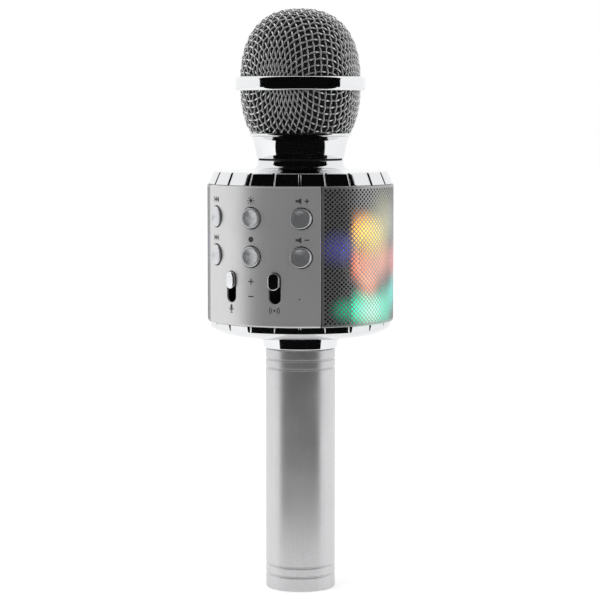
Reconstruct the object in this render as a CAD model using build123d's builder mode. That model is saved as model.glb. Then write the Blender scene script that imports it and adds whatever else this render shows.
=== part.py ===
"""Toy karaoke microphone: a mesh ball head, a drum with buttons, two side speakers and lights,
and a tubular handle that holds the cell.

Millimetres. +Z runs up the handle, the control panel faces -Y, and the origin is the middle of the
handle's foot. An azimuth is an angle round Z in degrees, 0 at the front (-Y), positive towards +X.
"""

import math
import os

from build123d import *

# Clearances
fit_gap = 0.1  # between pieces that are glued, clipped or screwed together
slide_gap = 0.3  # round a piece that moves
soft_gap = 0.3  # round foam and rubber
thread_gap = 0.2

# Handle
handle_radius = 14.6
handle_length = 101.6
handle_wall = 1.4
groove_radius = 0.45
groove_rise = (6.0, 10.0)  # above the foot
groove_drop = (4.3, 8.0)  # below the top
foot_round = 1.0
end_cap_depth = 8.0
end_cap_floor = 2.6
coin_slot = (15.0, 1.8, 1.2)  # length, width, depth
cell_radius = 9.2
cell_length = 65.0
cell_button = (2.75, 1.4)  # radius, height
spring_wire = 0.8
spring_radius = 5.6
spring_height = 8.6
spring_turns = 5
insert_depth = 16.0
insert_wall = 2.4

# Collar and drum
collar_height = 5.8
collar_proud = 0.8  # its foot outside the handle
collar_flare = 0.9  # from its foot to its top
seam = 0.3
skin_radius = 39.0
skin_height = 57.1
skin_round = 0.9
panel_wall = 1.2
mesh_wall = 0.8
core_wall = 2.0
plate_wall = 2.0
ledge_height = 2.0
ledge_lip = 1.2
panel_half_span = 43.3
rear_half_span = 22.0
edge_seam = 0.4  # degrees between neighbouring skins

# Chromed caps
cap_wall = 1.8
bottom_cap_height = 5.8
bottom_cap_inset = 1.0  # inside the skin
top_cap_height = 5.3
top_cap_inset = 0.4
top_cap_slope = 2.0
notch_count = 22
notch_start = -2.2  # azimuth of the first
notch_radius = 0.6
notch_depth = 0.5
hub_radius = 18.0
hub_rise = 4.5  # above the top cap's rim
screw_radius = 1.25
screw_head = (2.4, 1.4)
screw_length = (9.0, 7.4)  # bottom, top
post_radius = 3.0

# Neck and head
gasket_height = 0.8
neck_height = 9.2
neck_foot_radius = 18.1
neck_top_radius = 20.6
neck_wall = 1.6
rim_height = 1.3
rim_radius = 21.5
head_radius = 25.3
bowl_foot_radius = 21.0
bowl_height = 20.5
dome_height = 31.3
mesh_ball_wall = 0.8
dome_power = 2.45
bowl_power = 2.2
band_height = 5.8
band_chamfer = 0.8
band_wall = 1.8
foam_wall = 3.5
capsule_radius = 7.0
capsule_height = 9.0
cradle_wall = 2.6
stem_radius = 11.5
stem_wall = 2.0

# Controls
column_span = 31.3
row_pitch = 15.65
button_radius = 4.15
button_proud = 1.0
button_travel = 0.8
button_rim = 0.45
dish_radius = 3.3
dish_depth = 0.5
hole_gap = 0.4
flange_lip = 0.8
flange_wall = 0.9
plunger_radius = 1.5
slot_span = 15.3
slot_length = 12.9
slot_width = 5.2
slot_drop = 12.55  # slot centre below the middle of the panel
knob_length = 7.0
knob_width = 4.6
knob_proud = 1.6
pinhole = (30.0, -16.85, 0.4)  # azimuth, height from the middle, radius
carrier_wall = 1.2
switch_size = 6.0
switch_height = 3.5
well_depth = 2.4
dome_disc = (2.2, 0.2)
board_wall = 1.6
pot_width = 5.0
pot_height = 3.2

# Speakers and lights
driver_room = 1.2
guide_lip = 2.3
guide_edge = 1.4
cone_opening = 13.0
led_count = 8
led_size = (3.0, 3.0, 0.9)
driver_wall = 1.5
driver_depth = 10.0
magnet_radius = 11.0
magnet_depth = 7.0

# Rear ports
rear_board_depth = 11.0
power_radius = 3.4
power_rise = 21.5
usb_size = (13.2, 5.8)
usb_rise = 11.5
usb_wall = 0.5
usb_tongue = 1.8
card_size = (12.6, 2.2)
card_rise = 3.0
jack_rise = -6.0
jack_radius = 1.8
jack_barrel = 3.2
charge_size = (8.0, 3.2)
charge_rise = -16.5
port_depth = 9.0

# Heights, from the foot up
collar_base = handle_length + seam
cap_base = collar_base + collar_height + fit_gap
skin_base = cap_base + bottom_cap_height
skin_top = skin_base + skin_height
skin_middle = (skin_base + skin_top) / 2
cap_rim = skin_top + top_cap_height
hub_top = cap_rim + hub_rise
neck_base = hub_top + gasket_height
neck_top = neck_base + neck_height
rim_top = neck_top + rim_height
equator = rim_top + bowl_height

inner_floor = skin_base + plate_wall
inner_roof = skin_top - plate_wall - fit_gap
ledge_base = inner_roof - ledge_height

# Radii and depths that follow
bore_radius = handle_radius - handle_wall
collar_foot_radius = handle_radius + collar_proud
collar_top_radius = collar_foot_radius + collar_flare
core_outer = skin_radius - panel_wall - fit_gap
core_inner = core_outer - core_wall
column_x = skin_radius * math.sin(math.radians(column_span))
column_squeeze = math.cos(math.radians(column_span))
flange_edge = column_x + button_radius * column_squeeze + flange_lip
panel_inner = skin_radius - panel_wall
flange_front = math.sqrt(panel_inner**2 - flange_edge**2) - 0.5
flange_back = flange_front - flange_wall
carrier_front = flange_back - button_travel - 0.4
carrier_back = carrier_front - carrier_wall
switch_front = carrier_back - slide_gap
board_front = switch_front - switch_height
board_back = board_front - board_wall
plunger_tip = switch_front - 0.6
carrier_half = math.sqrt((core_inner - fit_gap) ** 2 - carrier_front**2)
window_half = flange_edge + 2 * slide_gap
board_half = window_half - slide_gap
screw_circle = math.sqrt(2) * (board_back - post_radius - fit_gap)
driver_radius = min(board_back - driver_room, ledge_base - skin_middle - guide_lip - slide_gap)
light_radius = driver_radius + guide_lip
guide_back = math.sqrt(core_outer**2 - light_radius**2) - guide_edge
led_face = guide_back - led_size[2] - fit_gap
driver_face = led_face - board_wall - fit_gap
rear_board_face = skin_radius - rear_board_depth


def around(radius, azimuth, height=0.0):
    """The point at a radius, an azimuth and a height."""
    a = math.radians(azimuth)
    return (radius * math.sin(a), -radius * math.cos(a), height)


def radial_plane(azimuth):
    """The upright plane through Z at an azimuth: local x runs outwards, local y up."""
    a = math.radians(azimuth)
    return Plane(origin=(0, 0, 0), x_dir=around(1, azimuth), z_dir=(-math.cos(a), -math.sin(a), 0))


def save(piece, name):
    """Labels a finished piece and writes it to its own file."""
    piece.part.label = name
    export_step(piece.part, f"parts/{name}.step")


def turned(outline):
    """A solid turned about Z from a closed outline of (radius, height) points."""
    with BuildPart() as piece:
        with BuildSketch(Plane.XZ):
            with BuildLine():
                Polyline(*outline, close=True)
            make_face()
        revolve(axis=Axis.Z)
    return piece


# ---------------------------------------------------------------- handle


def handle_tube():
    """Anodised tube with two pairs of round grooves."""
    heights = [*groove_rise, *(handle_length - drop for drop in groove_drop)]
    with BuildPart() as piece:
        Cylinder(handle_radius, handle_length, align=(Align.CENTER, Align.CENTER, Align.MIN))
        fillet(piece.edges().sort_by(Axis.Z)[0], foot_round)
        chamfer(piece.edges().filter_by(GeomType.CIRCLE).sort_by(Axis.Z)[-1], 0.4)
        Hole(bore_radius)
        with Locations(*[(0, 0, z) for z in heights]):
            Torus(handle_radius, groove_radius, mode=Mode.SUBTRACT)
    return piece


def end_cap():
    """Screw plug that closes the foot and carries the spring, with a coin slot below."""
    plug = bore_radius - fit_gap
    with BuildPart() as piece:
        Cylinder(plug, end_cap_depth, align=(Align.CENTER, Align.CENTER, Align.MIN))
        with Locations((0, 0, end_cap_depth)):
            CounterBoreHole(
                radius=screw_radius,
                counter_bore_radius=plug - insert_wall,
                counter_bore_depth=end_cap_depth - end_cap_floor,
                depth=end_cap_depth - end_cap_floor,
            )
        Box(*coin_slot, align=(Align.CENTER, Align.CENTER, Align.MIN), mode=Mode.SUBTRACT)
    return piece


cell_base = end_cap_floor + spring_height + 2 * fit_gap
cell_top = cell_base + cell_length
sleeve_base = end_cap_depth + fit_gap
sleeve_inner = cell_radius + fit_gap
sleeve_outer = sleeve_inner + 1.2
sleeve_top = cell_top + cell_button[1] + 1.6


def battery_sleeve():
    """Plastic tube with two flanges that centres the cell in the handle."""
    flange = bore_radius - fit_gap
    return turned(
        [
            (sleeve_inner, sleeve_base),
            (flange, sleeve_base),
            (flange, sleeve_base + 3),
            (sleeve_outer, sleeve_base + 3),
            (sleeve_outer, sleeve_top - 3),
            (flange, sleeve_top - 3),
            (flange, sleeve_top),
            (sleeve_inner, sleeve_top),
        ]
    )


def battery_cell():
    """One lithium cell with its raised button."""
    radius, rise = cell_button
    with BuildPart() as piece:
        with Locations((0, 0, cell_base)):
            Cylinder(cell_radius, cell_length, align=(Align.CENTER, Align.CENTER, Align.MIN))
        fillet(piece.edges().filter_by(GeomType.CIRCLE), 0.6)
        with Locations((0, 0, cell_top)):
            Cylinder(radius, rise, align=(Align.CENTER, Align.CENTER, Align.MIN))
    return piece


def battery_spring():
    """Helical contact spring under the cell."""
    rise = spring_height - spring_wire
    with BuildPart() as piece:
        with BuildLine() as path:
            Helix(
                pitch=rise / spring_turns,
                height=rise,
                radius=spring_radius,
                center=(0, 0, end_cap_floor + fit_gap + spring_wire / 2),
            )
        with BuildSketch(Plane(origin=path.line @ 0, z_dir=path.line % 0)):
            Circle(spring_wire / 2)
        sweep()
    return piece


contact_base = cell_top + cell_button[1] + fit_gap


def battery_contact():
    """Sprung disc that meets the cell's button, with a solder tag."""
    with BuildPart() as piece:
        with Locations((0, 0, contact_base)):
            Cylinder(sleeve_inner - fit_gap, 0.4, align=(Align.CENTER, Align.CENTER, Align.MIN))
            with Locations((5, 0, 0.4)):
                Box(0.5, 3, 5, align=(Align.CENTER, Align.CENTER, Align.MIN))
    return piece


def handle_insert():
    """Threaded spigot that joins the drum's bottom cap to the handle."""
    outer = bore_radius - fit_gap
    inner = outer - insert_wall
    floor = cap_base + cap_wall + fit_gap
    flange = screw_circle - post_radius - 1.0
    foot = max(handle_length - insert_depth, sleeve_top + fit_gap)
    return turned(
        [
            (inner, foot),
            (outer, foot),
            (outer, floor),
            (flange, floor),
            (flange, floor + 1.6),
            (inner, floor + 1.6),
        ]
    )


def handle_collar():
    """Chromed ring that widens from the handle to the drum."""
    inner = bore_radius + fit_gap
    top = collar_base + collar_height
    with BuildPart() as piece:
        with BuildSketch(Plane.XZ):
            with BuildLine():
                Polyline(
                    (inner, collar_base),
                    (collar_foot_radius, collar_base),
                    (collar_top_radius, top),
                    (inner, top),
                    close=True,
                )
            make_face()
        revolve(axis=Axis.Z)
        fillet(piece.edges().filter_by(GeomType.CIRCLE).group_by(Axis.Z)[0].sort_by(SortBy.RADIUS)[-1], 0.5)
    return piece


# ---------------------------------------------------------------- chromed caps


def screw_places(height):
    """The four screw places of a cap at a height."""
    return [around(screw_circle, azimuth, height) for azimuth in (45, 135, 225, 315)]


def bottom_cap():
    """Chromed dish under the drum, notched round its side, with four screw posts."""
    side = skin_radius - bottom_cap_inset
    side_foot = cap_base + 3.2
    floor = cap_base + cap_wall
    hole = bore_radius
    with BuildPart() as piece:
        with BuildSketch(Plane.XZ):
            with BuildLine():
                Polyline(
                    (hole, floor),
                    (hole, cap_base),
                    (side - 10, cap_base),
                )
                Spline(
                    (side - 10, cap_base),
                    (side - 3.4, cap_base + 1.5),
                    (side - 0.4, side_foot),
                    tangents=((1, 0), (0.5, 1)),
                )
                Polyline(
                    (side - 0.4, side_foot),
                    (side, skin_base - fit_gap),
                    (side - cap_wall, skin_base - fit_gap),
                    (side - cap_wall - 0.4, side_foot + 1.0),
                    (side - 10, floor),
                    (hole, floor),
                )
            make_face()
        revolve(axis=Axis.Z)
        with Locations(*screw_places(cap_base)):
            Cylinder(
                post_radius,
                bottom_cap_height - fit_gap,
                align=(Align.CENTER, Align.CENTER, Align.MIN),
            )
            Cylinder(
                screw_radius + fit_gap,
                bottom_cap_height + 1,
                align=(Align.CENTER, Align.CENTER, Align.MIN),
                mode=Mode.SUBTRACT,
            )
            Cylinder(
                screw_head[0] + fit_gap,
                screw_head[1] + 0.3,
                align=(Align.CENTER, Align.CENTER, Align.MIN),
                mode=Mode.SUBTRACT,
            )
        with Locations((0, 0, side_foot + 1.0)):
            with PolarLocations(side + 0.1, notch_count, start_angle=notch_start - 90):
                Cylinder(notch_radius, 3.6, mode=Mode.SUBTRACT)
    return piece


def top_cap():
    """Chromed crown over the drum, with notches round its slope and a flared hub."""
    base = skin_radius - top_cap_inset
    rim = base - top_cap_slope
    inner = base - cap_wall - 0.6
    roof = cap_rim - cap_wall
    with BuildPart() as piece:
        with BuildSketch(Plane.XZ):
            with BuildLine():
                Polyline(
                    (core_inner - 1, skin_top + fit_gap),
                    (base, skin_top + fit_gap),
                    (rim, cap_rim - 0.7),
                )
                ThreePointArc(
                    (rim, cap_rim - 0.7),
                    (rim - 0.28, cap_rim - 0.12),
                    (rim - 0.9, cap_rim),
                )
                Line((rim - 0.9, cap_rim), (hub_radius + 4.6, cap_rim + 0.5))
                TangentArc(
                    (hub_radius + 4.6, cap_rim + 0.5),
                    (hub_radius, hub_top - 1.2),
                    tangent=(-1, 0.06),
                )
                Polyline(
                    (hub_radius, hub_top - 1.2),
                    (hub_radius, hub_top),
                    (stem_radius + fit_gap, hub_top),
                    (stem_radius + fit_gap, hub_top - cap_wall),
                    (hub_radius - cap_wall, hub_top - cap_wall),
                    (hub_radius - cap_wall, roof),
                    (inner - top_cap_slope, roof),
                    (core_inner - 1, skin_top + fit_gap),
                )
            make_face()
        revolve(axis=Axis.Z)
        with Locations(*screw_places(skin_top + fit_gap)):
            Cylinder(
                post_radius,
                top_cap_height - cap_wall,
                align=(Align.CENTER, Align.CENTER, Align.MIN),
            )
            Cylinder(
                screw_radius + fit_gap,
                top_cap_height - 1.0,
                align=(Align.CENTER, Align.CENTER, Align.MIN),
                mode=Mode.SUBTRACT,
            )
        slope = math.degrees(math.atan2(top_cap_slope, top_cap_height - 0.7))
        for n in range(notch_count):
            place = Location((base - top_cap_slope / 2, skin_top + 2.6, 0), (0, 0, slope))
            with Locations(radial_plane(notch_start + 360 / notch_count * n).location * place):
                Box(2 * notch_depth, top_cap_height + 1.6, 2 * notch_radius, mode=Mode.SUBTRACT)
    return piece


def cap_screws(base, length):
    """Four pan-head screws standing at the screw circle, heads at the base height."""
    radius, height = screw_head
    with BuildPart() as piece:
        with Locations(*screw_places(base)):
            Cylinder(radius, height, align=(Align.CENTER, Align.CENTER, Align.MIN))
            Cylinder(screw_radius, length, align=(Align.CENTER, Align.CENTER, Align.MIN))
            Box(2.6, 0.6, 0.6, align=(Align.CENTER, Align.CENTER, Align.MIN), mode=Mode.SUBTRACT)
            Box(0.6, 2.6, 0.6, align=(Align.CENTER, Align.CENTER, Align.MIN), mode=Mode.SUBTRACT)
    return piece


# ---------------------------------------------------------------- drum


def skin(start, end, wall):
    """A curved sheet of the drum's outside between two azimuths, its outer edges rounded."""
    curl = min(skin_round, wall * 0.7)
    near = skin_radius - curl
    inner = skin_radius - wall
    with BuildPart() as piece:
        with BuildSketch(radial_plane(start)):
            with BuildLine():
                Polyline((near, skin_base), (inner, skin_base), (inner, skin_top), (near, skin_top))
                RadiusArc((near, skin_top), (skin_radius, skin_top - curl), curl)
                Line((skin_radius, skin_top - curl), (skin_radius, skin_base + curl))
                RadiusArc((skin_radius, skin_base + curl), (near, skin_base), curl)
            make_face()
        revolve(axis=Axis.Z, revolution_arc=end - start)
    return piece


def button_outline(azimuth, height, radius):
    """The outline, seen along Y, of a round that lies on the drum at an azimuth."""
    with BuildSketch(Plane.XZ.offset(skin_radius / 4)) as outline:
        with Locations((skin_radius * math.sin(math.radians(azimuth)), height)):
            squeeze = math.cos(math.radians(azimuth))
            if abs(azimuth) < 1:
                Circle(radius)
            else:
                Ellipse(radius * squeeze, radius)
    return outline.sketch


columns = {"left": -column_span, "middle": 0.0, "right": column_span}
rows = {"upper": skin_middle + row_pitch, "lower": skin_middle}
button_names = {
    ("left", "upper"): "previous_button",
    ("middle", "upper"): "light_button",
    ("right", "upper"): "volume_up_button",
    ("left", "lower"): "next_button",
    ("middle", "lower"): "record_button",
    ("right", "lower"): "volume_down_button",
}
sliders = {"mic_volume_knob": -slot_span, "remix_knob": slot_span}
slot_middle = skin_middle - slot_drop


def slot_outline(azimuth, height, length, width, depth):
    """An upright rounded slot, seen along Y, on the drum at an azimuth."""
    squeeze = math.cos(math.radians(azimuth))
    with BuildSketch(Plane.XZ.offset(depth)) as outline:
        with Locations((skin_radius * math.sin(math.radians(azimuth)), height)):
            SlotOverall(length, width * squeeze, rotation=90)
    return outline.sketch


def control_panel():
    """Curved front plate with six button holes, two slots and a pinhole."""
    with BuildPart() as piece:
        add(skin(-panel_half_span, panel_half_span, panel_wall).part)
        for column, row in button_names:
            cut = button_outline(columns[column], rows[row], button_radius + hole_gap)
            extrude(cut, amount=skin_radius, mode=Mode.SUBTRACT)
        for azimuth in sliders.values():
            cut = slot_outline(azimuth, slot_middle, slot_length, slot_width, skin_radius / 4)
            extrude(cut, amount=skin_radius, mode=Mode.SUBTRACT)
        azimuth, rise, radius = pinhole
        with Locations(Plane(origin=around(skin_radius, azimuth, skin_middle + rise), z_dir=around(1, azimuth))):
            Hole(radius, depth=3 * panel_wall)
    return piece


def rear_panel():
    """Curved rear plate with the power button's hole and the port openings."""
    with BuildPart() as piece:
        add(skin(180 - rear_half_span, 180 + rear_half_span, panel_wall).part)
        with BuildSketch(Plane.XZ.offset(-skin_radius / 2)):
            with Locations((0, skin_middle + power_rise)):
                Circle(power_radius + hole_gap)
            with Locations((0, skin_middle + usb_rise)):
                RectangleRounded(usb_size[0] + 2 * slide_gap, usb_size[1] + 2 * slide_gap, 0.4)
            with Locations((0, skin_middle + card_rise)):
                RectangleRounded(card_size[0] + 2 * slide_gap, card_size[1] + 2 * slide_gap, 0.4)
            with Locations((0, skin_middle + jack_rise)):
                Circle(jack_barrel + slide_gap)
            with Locations((0, skin_middle + charge_rise)):
                RectangleRounded(charge_size[0] + 2 * slide_gap, charge_size[1] + 2 * slide_gap, 0.6)
        extrude(amount=-skin_radius, mode=Mode.SUBTRACT)
    return piece


def core_frame():
    """Inner drum with a floor, side openings for the lights and windows for controls and ports."""
    with BuildPart() as piece:
        with Locations((0, 0, skin_base)):
            Cylinder(core_outer, skin_height, align=(Align.CENTER, Align.CENTER, Align.MIN))
        with Locations((0, 0, inner_floor)):
            Cylinder(
                core_inner,
                skin_height,
                align=(Align.CENTER, Align.CENTER, Align.MIN),
                mode=Mode.SUBTRACT,
            )
        with BuildSketch(Plane.XY.offset(ledge_base)):
            Circle(core_inner + fit_gap)
            Circle(core_inner - ledge_lip, mode=Mode.SUBTRACT)
        extrude(amount=ledge_height - fit_gap)
        with Locations((0, 0, skin_base)):
            Cylinder(
                bore_radius - insert_wall,
                2 * plate_wall + 1,
                mode=Mode.SUBTRACT,
            )
        with Locations(*screw_places(skin_base)):
            Cylinder(post_radius, 7.0, align=(Align.CENTER, Align.CENTER, Align.MIN))
            Cylinder(
                screw_radius + fit_gap,
                6.0,
                align=(Align.CENTER, Align.CENTER, Align.MIN),
                mode=Mode.SUBTRACT,
            )
        with BuildSketch(Plane.YZ.offset(-skin_radius)):
            with Locations((0, skin_middle)):
                Circle(light_radius + fit_gap)
        extrude(amount=2 * skin_radius, mode=Mode.SUBTRACT)
        with Locations((0, -skin_radius, skin_middle)):
            Box(2 * window_half, 2 * (skin_radius - carrier_back), skin_height - 10, mode=Mode.SUBTRACT)
        with Locations((0, skin_radius, skin_middle)):
            Box(usb_size[0] + 5, skin_radius, skin_height - 5, mode=Mode.SUBTRACT)
        with BuildSketch(Plane.XZ.offset(-rear_board_face - fit_gap)):
            for rise in (-skin_height / 2 + 5.5, skin_height / 2 - 5.5):
                with Locations((-13, skin_middle + rise), (13, skin_middle + rise)):
                    Circle(1.6)
        extrude(amount=-(math.sqrt(core_inner**2 - 13**2) - rear_board_face + 0.6))
    return piece


def core_lid():
    """Disc that closes the inner drum and carries the top cap's screws."""
    with BuildPart() as piece:
        with Locations((0, 0, inner_roof)):
            Cylinder(core_inner - fit_gap, plate_wall, align=(Align.CENTER, Align.CENTER, Align.MIN))
            Cylinder(
                stem_radius - stem_wall,
                plate_wall,
                align=(Align.CENTER, Align.CENTER, Align.MIN),
                mode=Mode.SUBTRACT,
            )
        with Locations(*screw_places(inner_roof)):
            Cylinder(
                screw_radius + fit_gap,
                plate_wall,
                align=(Align.CENTER, Align.CENTER, Align.MIN),
                mode=Mode.SUBTRACT,
            )
    return piece


# ---------------------------------------------------------------- controls


def push_button(azimuth, height):
    """Plated button: dished face along the drum, flange behind the panel, plunger to its switch."""
    x = skin_radius * math.sin(math.radians(azimuth))
    squeeze = math.cos(math.radians(azimuth))
    middle = Vector(*around(skin_radius, azimuth, height)) - Vector(0, button_proud, 0)
    outwards = Vector(*around(1, azimuth))
    dish = (dish_radius**2 + dish_depth**2) / (2 * dish_depth)
    with BuildPart() as piece:
        extrude(button_outline(azimuth, height, button_radius), amount=skin_radius)
        split(bisect_by=Plane(origin=middle, z_dir=outwards), keep=Keep.BOTTOM)
        split(bisect_by=Plane.XZ.offset(flange_back), keep=Keep.TOP)
        fillet(piece.faces().sort_by(Axis((0, 0, 0), outwards))[-1].edges(), button_rim)
        with Locations(middle + outwards * (dish - dish_depth)):
            Sphere(dish, mode=Mode.SUBTRACT)
        with BuildSketch(Plane.XZ.offset(flange_back)):
            with Locations((x, height)):
                Ellipse(button_radius * squeeze + flange_lip, button_radius + flange_lip + 0.01)
        extrude(amount=flange_wall)
        with BuildSketch(Plane.XZ.offset(plunger_tip)):
            with Locations((x, height)):
                Circle(plunger_radius)
        extrude(amount=flange_back - plunger_tip)
    return piece


def slide_knob(azimuth):
    """Rounded knob that stands out of its slot, with a stem to the slide control behind."""
    height = slot_middle + (slot_length - knob_length) / 2 - slide_gap
    middle = Vector(*around(skin_radius, azimuth, height)) - Vector(0, knob_proud, 0)
    outwards = Vector(*around(1, azimuth))
    with BuildPart() as piece:
        extrude(slot_outline(azimuth, height, knob_length, knob_width, carrier_front + slide_gap), amount=skin_radius)
        split(bisect_by=Plane(origin=middle, z_dir=outwards), keep=Keep.BOTTOM)
        fillet(piece.faces().sort_by(Axis((0, 0, 0), outwards))[-1].edges(), 0.6)
        with BuildSketch(Plane.XZ.offset(board_front + pot_height - 0.9)):
            with Locations((skin_radius * math.sin(math.radians(azimuth)), height)):
                Rectangle(1.6, 3.0)
        extrude(amount=carrier_front + slide_gap - board_front - pot_height + 0.9)
    return piece


def button_carrier():
    """Flat plate behind the panel with guide holes, held by the inner drum."""
    with BuildPart() as piece:
        with BuildSketch(Plane.XZ.offset(carrier_back)):
            with Locations((0, (inner_floor + ledge_base) / 2)):
                Rectangle(2 * carrier_half, ledge_base - inner_floor - 2 * fit_gap)
            for column, row in button_names:
                with Locations((skin_radius * math.sin(math.radians(columns[column])), rows[row])):
                    Circle(plunger_radius + slide_gap, mode=Mode.SUBTRACT)
            for azimuth in sliders.values():
                with Locations((skin_radius * math.sin(math.radians(azimuth)), slot_middle)):
                    SlotOverall(slot_length, 1.6 + 4 * slide_gap, rotation=90, mode=Mode.SUBTRACT)
        extrude(amount=carrier_wall)
        with BuildSketch(Plane.XZ.offset(board_front + fit_gap)):
            for rise in (-skin_height / 2 + 6.2, skin_height / 2 - 7.4):
                with Locations((-column_x / 2, skin_middle + rise), (column_x / 2, skin_middle + rise)):
                    Circle(1.6)
        extrude(amount=carrier_back - board_front - fit_gap)
    return piece


def control_board():
    """Board that carries the six switches and the two slide controls."""
    with BuildPart() as piece:
        with BuildSketch(Plane.XZ.offset(board_back)):
            with Locations((0, skin_middle)):
                RectangleRounded(2 * board_half, skin_height - 9.0, 1.0)
        extrude(amount=board_wall)
    return piece


def switch_housings():
    """Six switch bodies on the control board, each with a well for its plunger."""
    with BuildPart() as piece:
        for column, row in button_names:
            x = skin_radius * math.sin(math.radians(columns[column]))
            with BuildSketch(Plane.XZ.offset(board_front + 0.02)):
                with Locations((x, rows[row])):
                    RectangleRounded(switch_size, switch_size, 0.5)
            extrude(amount=switch_height - 0.02)
            with BuildSketch(Plane.XZ.offset(switch_front)):
                with Locations((x, rows[row])):
                    Circle(plunger_radius + slide_gap)
            extrude(amount=-well_depth, mode=Mode.SUBTRACT)
    return piece


def switch_domes():
    """Six thin snap domes at the bottoms of the switch wells."""
    radius = plunger_radius + slide_gap - fit_gap
    with BuildPart() as piece:
        with BuildSketch(Plane.XZ.offset(switch_front - well_depth + 0.05)):
            for column, row in button_names:
                with Locations((skin_radius * math.sin(math.radians(columns[column])), rows[row])):
                    Circle(radius)
        extrude(amount=dome_disc[1])
    return piece


def slide_controls():
    """Two slide potentiometers on the control board, slotted for the knobs' stems."""
    with BuildPart() as piece:
        for azimuth in sliders.values():
            x = skin_radius * math.sin(math.radians(azimuth))
            with BuildSketch(Plane.XZ.offset(board_front + 0.02)):
                with Locations((x, slot_middle)):
                    RectangleRounded(pot_width, slot_length + 2, 0.5)
            extrude(amount=pot_height - 0.02)
            with BuildSketch(Plane.XZ.offset(board_front + pot_height)):
                with Locations((x, slot_middle)):
                    Rectangle(1.6 + 2 * slide_gap, slot_length - 1)
            extrude(amount=-1.4, mode=Mode.SUBTRACT)
    return piece


# ---------------------------------------------------------------- speakers and lights


def side_plane(side, depth):
    """The plane across X on one side (1 right, -1 left), facing outwards at a depth."""
    return Plane(origin=(side * depth, 0, skin_middle), x_dir=(0, side, 0), z_dir=(side, 0, 0))


def light_guide(side):
    """Milky ring round the speaker, curved to the drum, that the lights shine through."""
    with BuildPart() as piece:
        with BuildSketch(side_plane(side, guide_back)):
            Circle(light_radius)
            Circle(cone_opening, mode=Mode.SUBTRACT)
        extrude(amount=skin_radius)
        with Locations((0, 0, skin_middle)):
            Cylinder(core_outer - 0.05, skin_height, mode=Mode.INTERSECT)
    return piece


def light_board(side):
    """Ring-shaped board behind the light guide."""
    with BuildPart() as piece:
        with BuildSketch(side_plane(side, led_face - board_wall)):
            Circle(light_radius - 0.5)
            Circle(cone_opening + 0.5, mode=Mode.SUBTRACT)
        extrude(amount=board_wall)
    return piece


def light_chips():
    """The light-emitting chips on both light boards."""
    ring = (light_radius + cone_opening) / 2
    with BuildPart() as piece:
        for side in (1, -1):
            with BuildSketch(side_plane(side, led_face + 0.02)):
                with PolarLocations(ring, led_count, start_angle=180 / led_count):
                    Rectangle(led_size[0], led_size[1])
            extrude(amount=led_size[2])
    return piece


def speaker_driver(side):
    """Speaker basket with its magnet."""
    with BuildPart() as piece:
        with BuildSketch(side_plane(side, driver_face - driver_wall)):
            Circle(driver_radius)
            Circle(cone_opening + 0.2, mode=Mode.SUBTRACT)
        extrude(amount=driver_wall)
        back = driver_face - driver_wall - driver_depth
        with BuildSketch(side_plane(side, driver_face - driver_wall)):
            Circle(cone_opening + 1.4)
        with BuildSketch(side_plane(side, back)):
            Circle(magnet_radius - 1.5)
        loft()
        with BuildSketch(side_plane(side, driver_face - driver_wall)):
            Circle(cone_opening + 0.2)
        with BuildSketch(side_plane(side, back + 1.2)):
            Circle(magnet_radius - 2.9)
        loft(mode=Mode.SUBTRACT)
        with BuildSketch(side_plane(side, back - magnet_depth)):
            Circle(magnet_radius)
        extrude(amount=magnet_depth)
    return piece


def speaker_cone(side):
    """Cone with its roll surround, dust cap and voice coil tube."""
    with BuildPart() as piece:
        with BuildSketch(side_plane(side, driver_face - 0.6)):
            Circle(cone_opening)
        extrude(amount=1.4)
        with BuildSketch(side_plane(side, driver_face + 0.8)):
            Circle(cone_opening - 1.8)
        with BuildSketch(side_plane(side, driver_face - 5.0)):
            Circle(4.4)
        loft(mode=Mode.SUBTRACT)
        with BuildSketch(side_plane(side, driver_face - 0.6)):
            Circle(cone_opening - 0.8)
        with BuildSketch(side_plane(side, driver_face - 6.0)):
            Circle(4.6)
        loft()
        with BuildSketch(side_plane(side, driver_face + 0.81)):
            Circle(cone_opening - 1.8)
        with BuildSketch(side_plane(side, driver_face - 5.2)):
            Circle(4.0)
        loft(mode=Mode.SUBTRACT)
        with Locations(side_plane(side, driver_face - 9.2).location):
            Sphere(6.6)
        split(bisect_by=side_plane(side, driver_face - 6.0), keep=Keep.TOP)
        with BuildSketch(side_plane(side, driver_face - 9.2)):
            Circle(4.6)
            Circle(4.0, mode=Mode.SUBTRACT)
        extrude(amount=3.3)
    return piece


# ---------------------------------------------------------------- rear ports


def rear_plane(depth):
    """The plane across Y at the rear, facing +Y at a depth: local x is -X, local y is up."""
    return Plane(origin=(0, depth, skin_middle), x_dir=(-1, 0, 0), z_dir=(0, 1, 0))


port_face = skin_radius - 0.9
port_base = rear_board_face + 0.02
power_flange = skin_radius - panel_wall - 1.0


def main_board():
    """Rear board that carries the amplifier, the ports and the power switch."""
    half = math.sqrt((core_inner - 1.0) ** 2 - rear_board_face**2)
    with BuildPart() as piece:
        with BuildSketch(rear_plane(rear_board_face - board_wall)):
            RectangleRounded(2 * half, skin_height - 8.0, 1.0)
        extrude(amount=board_wall)
    return piece


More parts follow.
